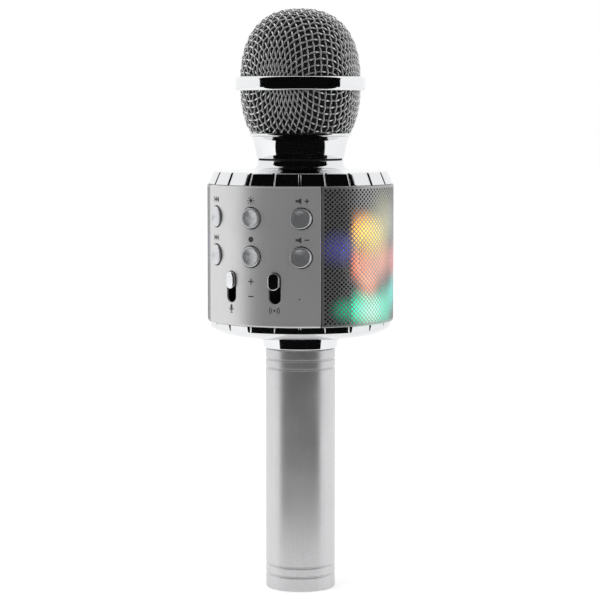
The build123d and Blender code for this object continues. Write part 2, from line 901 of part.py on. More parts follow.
def power_button():
    """Round rear button with its flange and plunger."""
    with BuildPart() as piece:
        with BuildSketch(rear_plane(power_flange - flange_wall)):
            with Locations((0, power_rise)):
                Circle(power_radius)
        extrude(amount=skin_radius + button_proud - power_flange + flange_wall)
        fillet(piece.edges().filter_by(GeomType.CIRCLE).sort_by(Axis.Y)[-1], 0.5)
        with BuildSketch(rear_plane(power_flange - flange_wall)):
            with Locations((0, power_rise)):
                Circle(power_radius + flange_lip)
        extrude(amount=flange_wall)
        tip = rear_board_face + switch_height - 0.6
        with BuildSketch(rear_plane(tip)):
            with Locations((0, power_rise)):
                Circle(plunger_radius)
        extrude(amount=power_flange - flange_wall - tip)
    return piece


def power_switch():
    """Switch body behind the power button."""
    with BuildPart() as piece:
        with BuildSketch(rear_plane(port_base)):
            with Locations((0, power_rise)):
                RectangleRounded(switch_size, switch_size, 0.5)
        extrude(amount=switch_height)
        with BuildSketch(rear_plane(port_base + switch_height)):
            with Locations((0, power_rise)):
                Circle(plunger_radius + slide_gap)
        extrude(amount=-well_depth, mode=Mode.SUBTRACT)
    return piece


def usb_socket():
    """Folded-metal socket shell with its contact tongue."""
    width, height = usb_size
    with BuildPart() as piece:
        with BuildSketch(rear_plane(port_base)):
            with Locations((0, usb_rise)):
                RectangleRounded(width, height, 0.4)
        extrude(amount=port_face - port_base)
        with BuildSketch(rear_plane(port_face)):
            with Locations((0, usb_rise)):
                RectangleRounded(width - 2 * usb_wall, height - 2 * usb_wall, 0.2)
        extrude(amount=-(port_face - port_base - 1), mode=Mode.SUBTRACT)
        with BuildSketch(rear_plane(port_base + 0.5)):
            with Locations((0, usb_rise + height / 2 - usb_wall - usb_tongue / 2 - 0.4)):
                Rectangle(width - 4 * usb_wall, usb_tongue)
        extrude(amount=port_face - port_base - 1.6)
    return piece


def card_socket():
    """Flat socket for a memory card."""
    width, height = card_size
    with BuildPart() as piece:
        with BuildSketch(rear_plane(port_base)):
            with Locations((0, card_rise)):
                Rectangle(width, height)
        extrude(amount=port_face - port_base)
        with BuildSketch(rear_plane(port_face)):
            with Locations((0, card_rise)):
                Rectangle(width - 1.2, height - 1.0)
        extrude(amount=-(port_face - port_base - 1), mode=Mode.SUBTRACT)
    return piece


def audio_jack():
    """Round audio socket: a block on the board with a barrel through the panel."""
    with BuildPart() as piece:
        with BuildSketch(rear_plane(port_base)):
            with Locations((0, jack_rise)):
                Rectangle(8.4, 7.4)
        extrude(amount=skin_radius - panel_wall - 0.5 - port_base)
        with BuildSketch(rear_plane(port_base)):
            with Locations((0, jack_rise)):
                Circle(jack_barrel)
        extrude(amount=port_face + 0.3 - port_base)
        with BuildSketch(rear_plane(port_face + 0.3)):
            with Locations((0, jack_rise)):
                Circle(jack_radius)
        extrude(amount=-port_depth, mode=Mode.SUBTRACT)
    return piece


def charge_socket():
    """Small charging socket with its tongue."""
    width, height = charge_size
    with BuildPart() as piece:
        with BuildSketch(rear_plane(port_base)):
            with Locations((0, charge_rise)):
                RectangleRounded(width, height, 0.7)
        extrude(amount=port_face - port_base)
        with BuildSketch(rear_plane(port_face)):
            with Locations((0, charge_rise)):
                RectangleRounded(width - 0.8, height - 0.8, 0.5)
        extrude(amount=-5.0, mode=Mode.SUBTRACT)
        with BuildSketch(rear_plane(port_face - 5.2)):
            with Locations((0, charge_rise + 0.3)):
                Rectangle(width - 3.4, 0.7)
        extrude(amount=4.4)
    return piece


# ---------------------------------------------------------------- neck and head


def neck_gasket():
    """Black rubber ring in the seam under the neck."""
    return turned(
        [
            (stem_radius + soft_gap, hub_top + 0.02),
            (hub_radius - 0.5, hub_top + 0.02),
            (hub_radius - 0.5, neck_base - 0.02),
            (stem_radius + soft_gap, neck_base - 0.02),
        ]
    )


def neck_shell():
    """Chromed neck that widens upwards under the head."""
    floor = neck_base + 1.4
    inside = neck_foot_radius - neck_wall
    with BuildPart() as piece:
        with BuildSketch(Plane.XZ):
            with BuildLine():
                Line((stem_radius + fit_gap, neck_base), (neck_foot_radius, neck_base))
                Spline(
                    (neck_foot_radius, neck_base),
                    (neck_foot_radius + 0.6, neck_base + 0.32 * neck_height),
                    (neck_foot_radius + 1.1, neck_base + 0.63 * neck_height),
                    (neck_top_radius, neck_top),
                )
                Polyline(
                    (neck_top_radius, neck_top),
                    (neck_top_radius - neck_wall, neck_top),
                    (inside, neck_top - 3),
                    (inside, floor),
                    (stem_radius + fit_gap, floor),
                    (stem_radius + fit_gap, neck_base),
                )
            make_face()
        revolve(axis=Axis.Z)
    return piece


def grille_rim():
    """Chromed ring at the foot of the head, with a threaded skirt inside the neck."""
    skirt = neck_foot_radius - neck_wall - thread_gap
    foot = neck_base + 5
    with BuildPart() as piece:
        with BuildSketch(Plane.XZ):
            with BuildLine():
                Polyline(
                    (skirt - 1.6, foot),
                    (skirt, foot),
                    (skirt, neck_top + 0.05),
                    (rim_radius - 0.3, neck_top + 0.05),
                )
                ThreePointArc(
                    (rim_radius - 0.3, neck_top + 0.05),
                    (rim_radius, neck_top + rim_height / 2),
                    (rim_radius - 0.3, rim_top),
                )
                Polyline(
                    (rim_radius - 0.3, rim_top),
                    (skirt - 1.6, rim_top),
                    (skirt - 1.6, foot),
                )
            make_face()
        revolve(axis=Axis.Z)
    return piece


def dome_arc(inset, lowest=0.0, count=9):
    """Points down the dome's outside from the pole to the equator, moved inwards by an inset."""
    points = []
    for n in range(count + 1):
        angle = math.radians(90 * n / count)
        radius = (head_radius - inset) * math.sin(angle) ** (2 / dome_power)
        rise = (dome_height - inset) * math.cos(angle) ** (2 / dome_power)
        points.append((radius, equator + max(rise, lowest)))
    return points


def bowl_radius(share):
    """The bowl's radius at a share of its height, 0 at its foot and 1 at the equator."""
    return bowl_foot_radius + (head_radius - bowl_foot_radius) * (1 - (1 - share) ** bowl_power)


def bowl_arc(inset, count=6):
    """Points up the bowl's outside from its foot to the equator, moved inwards by an inset."""
    return [
        (bowl_radius(n / count) - inset, rim_top + 0.05 + (bowl_height - 0.2) * n / count)
        for n in range(count + 1)
    ]


def grille_dome():
    """Upper half of the ball as a plain shell of the mesh's thickness."""
    outer = dome_arc(0.0)
    inner = dome_arc(mesh_ball_wall)
    with BuildPart() as piece:
        with BuildSketch(Plane.XZ):
            with BuildLine():
                Spline(*outer, tangents=((1, 0), (0, -1)))
                Line(outer[-1], inner[-1])
                Spline(*inner, tangents=((1, 0), (0, -1)))
                Line(inner[0], outer[0])
            make_face()
        revolve(axis=Axis.Z)
    return piece


def grille_bowl():
    """Lower half of the ball as a plain shell of the mesh's thickness."""
    outer = bowl_arc(0.0)
    inner = bowl_arc(mesh_ball_wall)
    with BuildPart() as piece:
        with BuildSketch(Plane.XZ):
            with BuildLine():
                Spline(*outer)
                Line(outer[-1], inner[-1])
                Spline(*inner)
                Line(inner[0], outer[0])
            make_face()
        revolve(axis=Axis.Z)
    return piece


def grille_band():
    """Chromed band round the ball's waist, its edges chamfered."""
    inner = head_radius + fit_gap
    outer = inner + band_wall
    low = equator - band_height / 2
    high = equator + band_height / 2
    with BuildPart() as piece:
        with BuildSketch(Plane.XZ):
            with BuildLine():
                Polyline(
                    (inner, low),
                    (outer - band_chamfer, low),
                    (outer, low + band_chamfer),
                    (outer, high - band_chamfer),
                    (outer - band_chamfer, high),
                    (inner, high),
                    close=True,
                )
            make_face()
        revolve(axis=Axis.Z)
    return piece


def foam_liner():
    """Foam windscreen inside the ball, open below round the capsule."""
    inset = mesh_ball_wall + soft_gap
    outer = dome_arc(inset, count=8)[:-1]
    lower = [*reversed(bowl_arc(inset)[1:]), (bowl_foot_radius - inset, rim_top + soft_gap + 0.1)]
    with BuildPart() as piece:
        with BuildSketch(Plane.XZ):
            with BuildLine():
                Polyline(
                    *outer,
                    *lower,
                    *[(r - foam_wall, z) for r, z in reversed(lower)],
                    *[(r, z - foam_wall) for r, z in reversed(outer[1:-1]) if r > foam_wall],
                    (0, outer[0][1] - foam_wall),
                    close=True,
                )
            make_face()
        revolve(axis=Axis.Z)
    return piece


capsule_base = equator - 6.0


def capsule():
    """Electret capsule can, its front rounded."""
    with BuildPart() as piece:
        with Locations((0, 0, capsule_base)):
            Cylinder(capsule_radius, capsule_height, align=(Align.CENTER, Align.CENTER, Align.MIN))
        fillet(piece.edges().filter_by(GeomType.CIRCLE).sort_by(Axis.Z)[-1], 0.8)
    return piece


def capsule_cradle():
    """Rubber cup that holds the capsule on the stem."""
    inner = capsule_radius + soft_gap
    outer = inner + cradle_wall
    floor = capsule_base - 1.6
    foot = max(outer, stem_radius - soft_gap)
    return turned(
        [
            (3.0, floor),
            (foot, floor),
            (foot, floor + 1.0),
            (outer, floor + 1.0),
            (outer, capsule_base + 5.0),
            (inner, capsule_base + 5.0),
            (inner, capsule_base - 0.05),
            (3.0, capsule_base - 0.05),
        ]
    )


def capsule_stem():
    """Hollow post from the drum's lid through the neck to the capsule."""
    flange = skin_top + fit_gap
    tip = capsule_base - 1.6 - fit_gap
    inner = stem_radius - stem_wall
    return turned(
        [
            (inner, flange),
            (hub_radius - cap_wall - 0.3, flange),
            (hub_radius - cap_wall - 0.3, flange + 2.0),
            (stem_radius, flange + 2.0),
            (stem_radius, tip),
            (inner, tip),
        ]
    )


def build():
    """Makes every piece and writes its file."""
    os.makedirs("parts", exist_ok=True)
    right_edge = panel_half_span + edge_seam
    rear_edge = 180 - rear_half_span - edge_seam
    pieces = {
        "handle_tube": handle_tube(),
        "end_cap": end_cap(),
        "battery_sleeve": battery_sleeve(),
        "battery_cell": battery_cell(),
        "battery_spring": battery_spring(),
        "battery_contact": battery_contact(),
        "handle_insert": handle_insert(),
        "handle_collar": handle_collar(),
        "bottom_cap": bottom_cap(),
        "bottom_screws": cap_screws(cap_base + 0.3, screw_length[0]),
        "core_frame": core_frame(),
        "core_lid": core_lid(),
        "top_screws": cap_screws(inner_roof - screw_head[1] - 0.05, screw_length[1]),
        "top_cap": top_cap(),
        "control_panel": control_panel(),
        "speaker_mesh_right": skin(right_edge, rear_edge, mesh_wall),
        "speaker_mesh_left": skin(-rear_edge, -right_edge, mesh_wall),
        "rear_panel": rear_panel(),
        "button_carrier": button_carrier(),
        "control_board": control_board(),
        "switch_housings": switch_housings(),
        "switch_domes": switch_domes(),
        "slide_controls": slide_controls(),
        "light_guide_right": light_guide(1),
        "light_guide_left": light_guide(-1),
        "light_board_right": light_board(1),
        "light_board_left": light_board(-1),
        "light_chips": light_chips(),
        "speaker_driver_right": speaker_driver(1),
        "speaker_driver_left": speaker_driver(-1),
        "speaker_cone_right": speaker_cone(1),
        "speaker_cone_left": speaker_cone(-1),
        "main_board": main_board(),
        "power_button": power_button(),
        "power_switch": power_switch(),
        "usb_socket": usb_socket(),
        "card_socket": card_socket(),
        "audio_jack": audio_jack(),
        "charge_socket": charge_socket(),
        "neck_gasket": neck_gasket(),
        "neck_shell": neck_shell(),
        "capsule_stem": capsule_stem(),
        "capsule_cradle": capsule_cradle(),
        "capsule": capsule(),
        "foam_liner": foam_liner(),
        "grille_rim": grille_rim(),
        "grille_bowl": grille_bowl(),
        "grille_band": grille_band(),
        "grille_dome": grille_dome(),
    }
    for (column, row), name in button_names.items():
        pieces[name] = push_button(columns[column], rows[row])
    for name, azimuth in sliders.items():
        pieces[name] = slide_knob(azimuth)
    for name, piece in pieces.items():
        save(piece, name)


build()
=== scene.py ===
"""Looks of a toy karaoke microphone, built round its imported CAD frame.

Sizes in this file are millimetres unless a name says otherwise, and meshes are written in metres.
An azimuth is an angle round Z in degrees: 0 looks out of the control panel (-Y), 90 out of the
right-hand speaker (+X).
"""

from __future__ import annotations

import logging
import math
from collections.abc import Callable, Sequence
from dataclasses import dataclass, field
from enum import Enum
from typing import Any

import bpy
import numpy as np
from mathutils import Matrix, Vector
from mathutils.geometry import delaunay_2d_cdt

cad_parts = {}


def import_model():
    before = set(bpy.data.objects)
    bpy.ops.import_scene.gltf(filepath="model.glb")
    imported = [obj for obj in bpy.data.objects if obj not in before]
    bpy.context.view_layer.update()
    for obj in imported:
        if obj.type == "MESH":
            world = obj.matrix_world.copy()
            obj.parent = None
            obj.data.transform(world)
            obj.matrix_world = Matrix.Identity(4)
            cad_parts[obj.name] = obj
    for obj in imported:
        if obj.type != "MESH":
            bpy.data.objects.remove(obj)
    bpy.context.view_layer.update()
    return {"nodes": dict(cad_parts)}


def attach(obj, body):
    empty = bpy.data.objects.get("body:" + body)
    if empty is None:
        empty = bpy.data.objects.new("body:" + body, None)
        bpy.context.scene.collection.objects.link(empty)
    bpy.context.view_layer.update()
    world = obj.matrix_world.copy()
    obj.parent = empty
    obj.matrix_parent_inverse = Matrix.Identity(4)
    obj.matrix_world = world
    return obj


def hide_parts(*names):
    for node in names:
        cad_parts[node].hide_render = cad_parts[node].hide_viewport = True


LOG = logging.getLogger("microphone")
MM = 0.001
Array = np.ndarray
Colour = tuple[float, float, float]
Corner = tuple[float, float, float]


class Side(Enum):
    """A side of the drum that holds a speaker."""

    RIGHT = 1
    LEFT = -1


# ------------------------------------------------------------------ shapes


def smooth_step(values: Array, low: float, high: float) -> Array:
    """A share that eases from 0 at low to 1 at high, flat at both ends."""
    share = np.clip((values - low) / (high - low), 0.0, 1.0)
    return share * share * (3.0 - 2.0 * share)


def towards(azimuth: float) -> Array:
    """The unit vector that points out of the drum at an azimuth in degrees."""
    angle = math.radians(azimuth)
    return np.array([math.sin(angle), -math.cos(angle), 0.0])


def rounded(corners: Sequence[Corner], closed: bool = True, steps: int = 6) -> Array:
    """A profile with its corners turned into arcs, and a support point beside each arc.

    An arc of radius q in a corner of angle w starts q / tan(w / 2) from the corner.

    Args:
        corners: (radius from Z, height, corner radius) of each corner.
        closed: Whether the last corner joins the first.
        steps: Pieces in each arc.

    Returns:
        An array of (radius, height) points.
    """
    places = np.array([corner[:2] for corner in corners], float)
    count = len(corners)
    points: list[Array] = []
    for index, (_, _, radius) in enumerate(corners):
        here = places[index]
        if radius <= 0 or (not closed and index in (0, count - 1)):
            points.append(here[None])
            continue
        back = places[index - 1] - here
        ahead = places[(index + 1) % count] - here
        back_length, ahead_length = np.linalg.norm(back), np.linalg.norm(ahead)
        back, ahead = back / back_length, ahead / ahead_length
        half = math.acos(float(np.clip(back @ ahead, -1, 1))) / 2
        reach = min(radius / math.tan(half), 0.45 * back_length, 0.45 * ahead_length)
        radius = reach * math.tan(half)
        middle = here + (back + ahead) / np.linalg.norm(back + ahead) * radius / math.sin(half)
        first, last = here + back * reach - middle, here + ahead * reach - middle
        share = np.linspace(0, 1, steps + 1)[:, None]
        spread = math.pi - 2 * half
        arc = (np.sin((1 - share) * spread) * first + np.sin(share * spread) * last) / math.sin(spread)
        support = [
            here + way * (reach + min(0.2, 0.25 * (length - reach)))
            for way, length in ((back, back_length), (ahead, ahead_length))
        ]
        points.append(np.vstack([support[0], middle + arc, support[1]]))
    return np.vstack(points)


@dataclass
class Skin:
    """Points and faces of one piece, gathered part by part."""

    points: list[Array] = field(default_factory=list)
    faces: list[Array] = field(default_factory=list)
    count: int = 0

    def add(self, points: Array, *faces: Array) -> int:
        """Adds points and faces that count from the first of them.

        Args:
            points: (n, 3) array in millimetres.
            faces: Arrays of point numbers, one row a face.

        Returns:
            The number of the first added point.
        """
        start = self.count
        self.points.append(np.asarray(points, float).reshape(-1, 3))
        self.count += len(self.points[-1])
        self.faces.extend(np.asarray(rows, np.int64) + start for rows in faces if len(rows))
        return start

    def join(self, *faces: Array) -> None:
        """Adds faces between points that are already here."""
        self.faces.extend(np.asarray(rows, np.int64) for rows in faces if len(rows))

    def bridge(self, first: Array, second: Array, closed: bool = True) -> None:
        """Joins two rows of point numbers with quads, round to the start when closed."""
        if closed:
            first, second = np.append(first, first[0]), np.append(second, second[0])
        self.join(np.column_stack([first[:-1], first[1:], second[1:], second[:-1]]))

    def rings(self, points: Array) -> None:
        """Adds a stack of closed rings joined one to the next, its ends closed with a fan.

        Args:
            points: (rings, points in a ring, 3) array.
        """
        rows, columns = points.shape[:2]
        start = self.add(points)
        numbers = start + np.arange(rows * columns).reshape(rows, columns)
        for one, two in zip(numbers[:-1], numbers[1:]):
            self.bridge(one, two)
        for row, ring in ((0, numbers[0][::-1]), (-1, numbers[-1])):
            self.fan(ring, self.add(points[row].mean(axis=0)[None]))

    def fan(self, ring: Array, middle: int) -> None:
        """Joins a closed row of point numbers to one point in its middle."""
        self.join(np.column_stack([ring, np.roll(ring, -1), np.full(len(ring), middle)]))

    def lathe(
        self, profile: Array, angles: Array, shape: Callable[[Array, Array, Array], Array] | None = None
    ) -> None:
        """Turns a profile about Z: a point (r, z) goes to (r sin a, -r cos a, z).

        Args:
            profile: (n, 2) points. Open with both ends on the axis, or else a closed loop.
            angles: Angles of the columns in radians.
            shape: Gives the radius at each (radius, height, angle) of the grid, for notches.
        """
        reach = np.repeat(profile[:, 0][:, None], len(angles), axis=1)
        rise = np.repeat(profile[:, 1][:, None], len(angles), axis=1)
        if shape is not None:
            reach = shape(reach, rise, np.broadcast_to(angles, reach.shape))
        grid = np.stack([reach * np.sin(angles), -reach * np.cos(angles), rise], axis=-1)
        columns = len(angles)
        if profile[0, 0] < 1e-6 and profile[-1, 0] < 1e-6:
            start = self.add(grid[1:-1])
            numbers = start + np.arange((len(profile) - 2) * columns).reshape(-1, columns)
            poles = self.add(grid[[0, -1], 0])
            self.fan(numbers[0][::-1], poles)
            self.fan(numbers[-1], poles + 1)
        else:
            start = self.add(grid)
            numbers = start + np.arange(len(profile) * columns).reshape(-1, columns)
            numbers = np.vstack([numbers, numbers[:1]])
        for one, two in zip(numbers[:-1], numbers[1:]):
            self.bridge(one, two)

    def volume(self) -> float:
        """Signed volume by the sum of tetrahedra from the origin, positive when faces look out."""
        points = np.vstack(self.points)
        total = 0.0
        for rows in self.faces:
            for step in range(1, rows.shape[1] - 1):
                a, b, c = points[rows[:, 0]], points[rows[:, step]], points[rows[:, step + 1]]
                total += float(np.einsum("ij,ij->", a, np.cross(b, c))) / 6
        return total

    def piece(self, name: str, finish: Finish, sharp: float = 40.0, spots: Array | None = None) -> bpy.types.Object:
        """Makes the object, with its faces outwards and its edges smoothed up to an angle.

        Args:
            name: Name of the object.
            finish: What it is made of.
            sharp: Edges turned by more degrees than this stay crisp.
            spots: (points, 2) places on the UV map, one a point.

        Returns:
            The new object.
        """
        points = np.vstack(self.points)
        turned = self.volume() < 0
        faces = [rows[:, ::-1] if turned else rows for rows in self.faces]
        mesh = bpy.data.meshes.new(name)
        mesh.vertices.add(len(points))
        mesh.vertices.foreach_set("co", (points * MM).ravel())
        totals = np.concatenate([np.full(len(rows), rows.shape[1]) for rows in faces])
        corners = np.concatenate([rows.ravel() for rows in faces])
        mesh.loops.add(len(corners))
        mesh.loops.foreach_set("vertex_index", corners)
        mesh.polygons.add(len(totals))
        mesh.polygons.foreach_set("loop_start", np.concatenate([[0], np.cumsum(totals)[:-1]]))
        mesh.polygons.foreach_set("loop_total", totals)
        mesh.update(calc_edges=True)
        if spots is not None:
            mesh.uv_layers.new(name="face").data.foreach_set("uv", spots[corners].ravel())
        mesh.validate()
        mesh.polygons.foreach_set("use_smooth", np.ones(len(mesh.polygons), bool))
        mesh.set_sharp_from_angle(angle=math.radians(sharp))
        mesh.materials.append(finish.material())
        made = bpy.data.objects.new(name, mesh)
        bpy.context.scene.collection.objects.link(made)
        return made


def full_turn(columns: int) -> Array:
    """Evenly spaced angles of one whole turn, in radians."""
    return np.arange(columns) * 2 * math.pi / columns


def on_circle(turn: Array) -> Array:
    """The (cosine, sine) points of a row of angles in radians."""
    return np.column_stack([np.cos(turn), np.sin(turn)])


def smooth_path(points: Array, steps: int) -> Array:
    """Points along a Catmull-Rom curve through given ones, up to but without the last of them.

    Args:
        points: (n, dimensions) points in order.
        steps: Steps from each point to the next.

    Returns:
        (steps * (n - 1), dimensions) points.
    """
    way = np.vstack([2 * points[0] - points[1], points, 2 * points[-1] - points[-2]])
    a, b, c, d = (way[k : len(way) - 3 + k][:, None] for k in range(4))
    t = np.linspace(0, 1, steps, endpoint=False)[None, :, None]
    path = 0.5 * (2 * b + (c - a) * t + (2 * a - 5 * b + 4 * c - d) * t**2 + (3 * b - a - 3 * c + d) * t**3)
    return path.reshape(-1, points.shape[1])


# ------------------------------------------------------------------ nodes


class Nodes:
    """Writes the nodes of one material, group or world."""

    def __init__(self, tree: bpy.types.NodeTree) -> None:
        """Takes the tree to write in."""
        self.tree = tree

    def add(self, kind: str, values: dict[Any, Any] | None = None, **settings: Any) -> bpy.types.Node:
        """Adds a node.

        Args:
            kind: The node's Blender type.
            values: Input name or number to a constant, or to the output socket that feeds it.
            settings: Properties of the node itself.

        Returns:
            The new node.
        """
        node = self.tree.nodes.new(kind)
        for key, value in settings.items():
            setattr(node, key, value)
        for key, value in (values or {}).items():
            self.put(node.inputs[key], value)
        return node

    def put(self, socket: bpy.types.NodeSocket, value: Any) -> None:
        """Feeds an input from an output, or sets it to a constant. A plain colour gets alpha 1."""
        if isinstance(value, bpy.types.NodeSocket):
            self.tree.links.new(value, socket)
        elif socket.type == "RGBA" and len(value) == 3:
            socket.default_value = (*value, 1.0)
        else:
            socket.default_value = value

    def place(self) -> bpy.types.NodeSocket:
        """The shaded point in the object's own metres."""
        return self.add("ShaderNodeTexCoord").outputs["Object"]

    def vector(self, operation: str, first: Any, second: Any = (0.0, 0.0, 0.0)) -> bpy.types.NodeSocket:
        """The result of a Vector Math node. The second value of SCALE is a plain number."""
        values = {0: first, "Scale" if operation == "SCALE" else 1: second}
        node = self.add("ShaderNodeVectorMath", values, operation=operation)
        return node.outputs["Value" if operation in ("LENGTH", "DISTANCE") else "Vector"]

    def math(self, operation: str, first: Any, second: Any = 0.0) -> bpy.types.NodeSocket:
        """The result of a Math node on two values or sockets."""
        return self.add("ShaderNodeMath", {0: first, 1: second}, operation=operation).outputs[0]

    def spread(self, value: Any, low: float, high: float, to_low: Any, to_high: Any) -> bpy.types.NodeSocket:
        """A value mapped smoothly from one range to another."""
        inputs = {"Value": value, "From Min": low, "From Max": high, "To Min": to_low, "To Max": to_high}
        return self.add("ShaderNodeMapRange", inputs, interpolation_type="SMOOTHSTEP").outputs["Result"]

    def mix(self, share: Any, first: Any, second: Any) -> bpy.types.NodeSocket:
        """A colour between two colours or sockets."""
        return self.add("ShaderNodeMix", {0: share, 6: first, 7: second}, data_type="RGBA").outputs[2]


class Effect(Enum):
    """Surface effects that several finishes share."""

    GRAIN = "fine_grain"
    HANDLING = "handling_marks"
    EDGE_DUST = "settled_dust"
    BRUSH = "brushed_lines"


CELL_SHARE = 0.3  # of the grain's height, the rest is noise
BRUSH_STRETCH = 0.012  # scale along Z beside 1 across
SCRATCHES = (0.66, 0.74)  # noise where a scratch starts and where it is full
SCRATCH_DEPTH = 0.5
SPECKS = (0.62, 0.72)  # noise where a speck of dust starts and where it is full
UPWARDS = (-0.3, 0.9)  # height of the normal where dust is thinnest and where it is thickest
THINNEST = 0.25
NOISE_SPAN = (0.25, 0.75)  # height that gives Low and height that gives High


def new_group(name: str, inputs: dict[str, float], outputs: Sequence[str]) -> tuple[Any, Nodes, Any, Any]:
    """Starts a shader node group of plain value sockets.

    Args:
        name: Name of the group.
        inputs: Input names and their defaults.
        outputs: Output names.

    Returns:
        The group, its node writer, its input node and its output node.
    """
    group = bpy.data.node_groups.new(name, "ShaderNodeTree")
    for key, value in inputs.items():
        socket = group.interface.new_socket(key, in_out="INPUT", socket_type="NodeSocketFloat")
        socket.default_value = value
    for key in outputs:
        group.interface.new_socket(key, in_out="OUTPUT", socket_type="NodeSocketFloat")
    nodes = Nodes(group)
    return group, nodes, nodes.add("NodeGroupInput"), nodes.add("NodeGroupOutput")


def effect_group(effect: Effect) -> Any:
    """The node group of an effect, built the first time it is asked for.

    GRAIN puts out two octaves of noise between Low and High, with a Height for a bump.
    HANDLING puts out broad soft patches with a few thin scratches, between Low and High.
    EDGE_DUST puts out a mask of faint specks, denser where the surface looks up.
    BRUSH puts out noise stretched along Z, between Low and High, with a Height.

    Args:
        effect: The effect wanted.

    Returns:
        The node group.
    """
    found = bpy.data.node_groups.get(effect.value)
    if found:
        return found
    inputs = {"Scale": 1000.0, "Low": 0.0, "High": 1.0}
    group, nodes, start, end = new_group(effect.value, inputs, ("Value", "Height"))
    place = nodes.place()
    scale, low, high = start.outputs["Scale"], start.outputs["Low"], start.outputs["High"]
    if effect is Effect.BRUSH:
        values = {"Vector": place, "Scale": (1.0, 1.0, BRUSH_STRETCH)}
        place = nodes.add("ShaderNodeMapping", values).outputs[0]
    coarse = nodes.add("ShaderNodeTexNoise", {"Vector": place, "Scale": scale, "Detail": 2.0})
    height = coarse.outputs[0]
    if effect is Effect.GRAIN:
        cells = nodes.add("ShaderNodeTexVoronoi", {"Vector": place, "Scale": scale}).outputs[0]
        noise = nodes.math("MULTIPLY", height, 1 - CELL_SHARE)
        height = nodes.math("ADD", noise, nodes.math("MULTIPLY", cells, CELL_SHARE))
    if effect is Effect.HANDLING:
        streaks = nodes.add("ShaderNodeMapping", {"Vector": place, "Rotation": (0.4, 0.9, 0.3), "Scale": (1, 14, 1)})
        fine = nodes.math("MULTIPLY", scale, 6.0)
        lines = nodes.add("ShaderNodeTexNoise", {"Vector": streaks.outputs[0], "Scale": fine, "Detail": 1.0})
        height = nodes.math("MAXIMUM", height, nodes.spread(lines.outputs[0], *SCRATCHES, 0.0, SCRATCH_DEPTH))
    if effect is Effect.EDGE_DUST:
        specks = nodes.spread(coarse.outputs[0], *SPECKS, 0.0, 1.0)
        facing = nodes.add("ShaderNodeSeparateXYZ", {0: nodes.add("ShaderNodeNewGeometry").outputs["Normal"]})
        height = nodes.math("MULTIPLY", specks, nodes.spread(facing.outputs["Z"], *UPWARDS, THINNEST, 1.0))
    least, most = NOISE_SPAN
    span = {"Value": height, "From Min": least, "From Max": most, "To Min": low, "To Max": high}
    result = nodes.add("ShaderNodeMapRange", span)
    nodes.tree.links.new(result.outputs[0], end.inputs["Value"])
    nodes.tree.links.new(height, end.inputs["Height"])
    return group


def apply_effect(nodes: Nodes, effect: Effect, scale: float, low: float, high: float) -> bpy.types.Node:
    """Places an effect's group in a material with its own values."""
    values = {"Scale": scale, "Low": low, "High": high}
    return nodes.add("ShaderNodeGroup", values, node_tree=effect_group(effect))


# ------------------------------------------------------------------ finishes


@dataclass(frozen=True)
class Finish:
    """What a piece is made of. Each kind dresses one Principled shader."""

    name: str
    colour: Colour

    def material(self) -> bpy.types.Material:
        """The finish's material, built the first time it is asked for."""
        found = bpy.data.materials.get(self.name)
        if found:
            return found
        made = bpy.data.materials.new(self.name)
        made.use_nodes = True
        made.diffuse_color = (*self.colour, 1.0)
        made.node_tree.nodes.clear()
        nodes = Nodes(made.node_tree)
        shader = nodes.add("ShaderNodeBsdfPrincipled")
        end = nodes.add("ShaderNodeOutputMaterial")
        nodes.tree.links.new(shader.outputs[0], end.inputs["Surface"])
        self.dress(nodes, shader)
        return made

    def dress(self, nodes: Nodes, shader: bpy.types.Node) -> None:
        """Feeds the shader. Each kind of finish has its own."""
        raise NotImplementedError

    def feed(self, nodes: Nodes, shader: bpy.types.Node, **sources: Any) -> None:
        """Links sockets to the shader's inputs, or sets constants, named with _ for a space."""
        for key, value in sources.items():
            nodes.put(shader.inputs[key.replace("_", " ").title()], value)

    def shade(self, factor: float) -> Colour:
        """The finish's colour, darker or brighter by a factor, at most 1."""
        return tuple(min(1.0, factor * part) for part in self.colour)

    def bump(self, nodes: Nodes, height: bpy.types.NodeSocket, depth: float) -> bpy.types.NodeSocket:
        """A normal from a height, with the depth of the relief in millimetres."""
        values = {"Height": height, "Strength": 1.0, "Distance": depth * MM}
        return nodes.add("ShaderNodeBump", values).outputs[0]


@dataclass(frozen=True)
class MirrorPlate(Finish):
    """Bright chrome plate over moulded plastic: a slight ripple, smears, and faint dust."""

    low: float = 0.03
    high: float = 0.10
    ripple: float = 0.004

    def dress(self, nodes: Nodes, shader: bpy.types.Node) -> None:
        """Smears set the roughness, and a slow noise ripples the plate."""
        smears = apply_effect(nodes, Effect.HANDLING, 90.0, self.low, self.high)
        dust = apply_effect(nodes, Effect.EDGE_DUST, 2600.0, 0.0, 0.10)
        tint = nodes.mix(dust.outputs["Value"], self.colour, self.shade(0.8))
        waves = apply_effect(nodes, Effect.GRAIN, 120.0, 0.0, 1.0)
        normal = self.bump(nodes, waves.outputs["Height"], self.ripple)
        self.feed(nodes, shader, base_color=tint, roughness=smears.outputs["Value"], metallic=1.0, normal=normal)


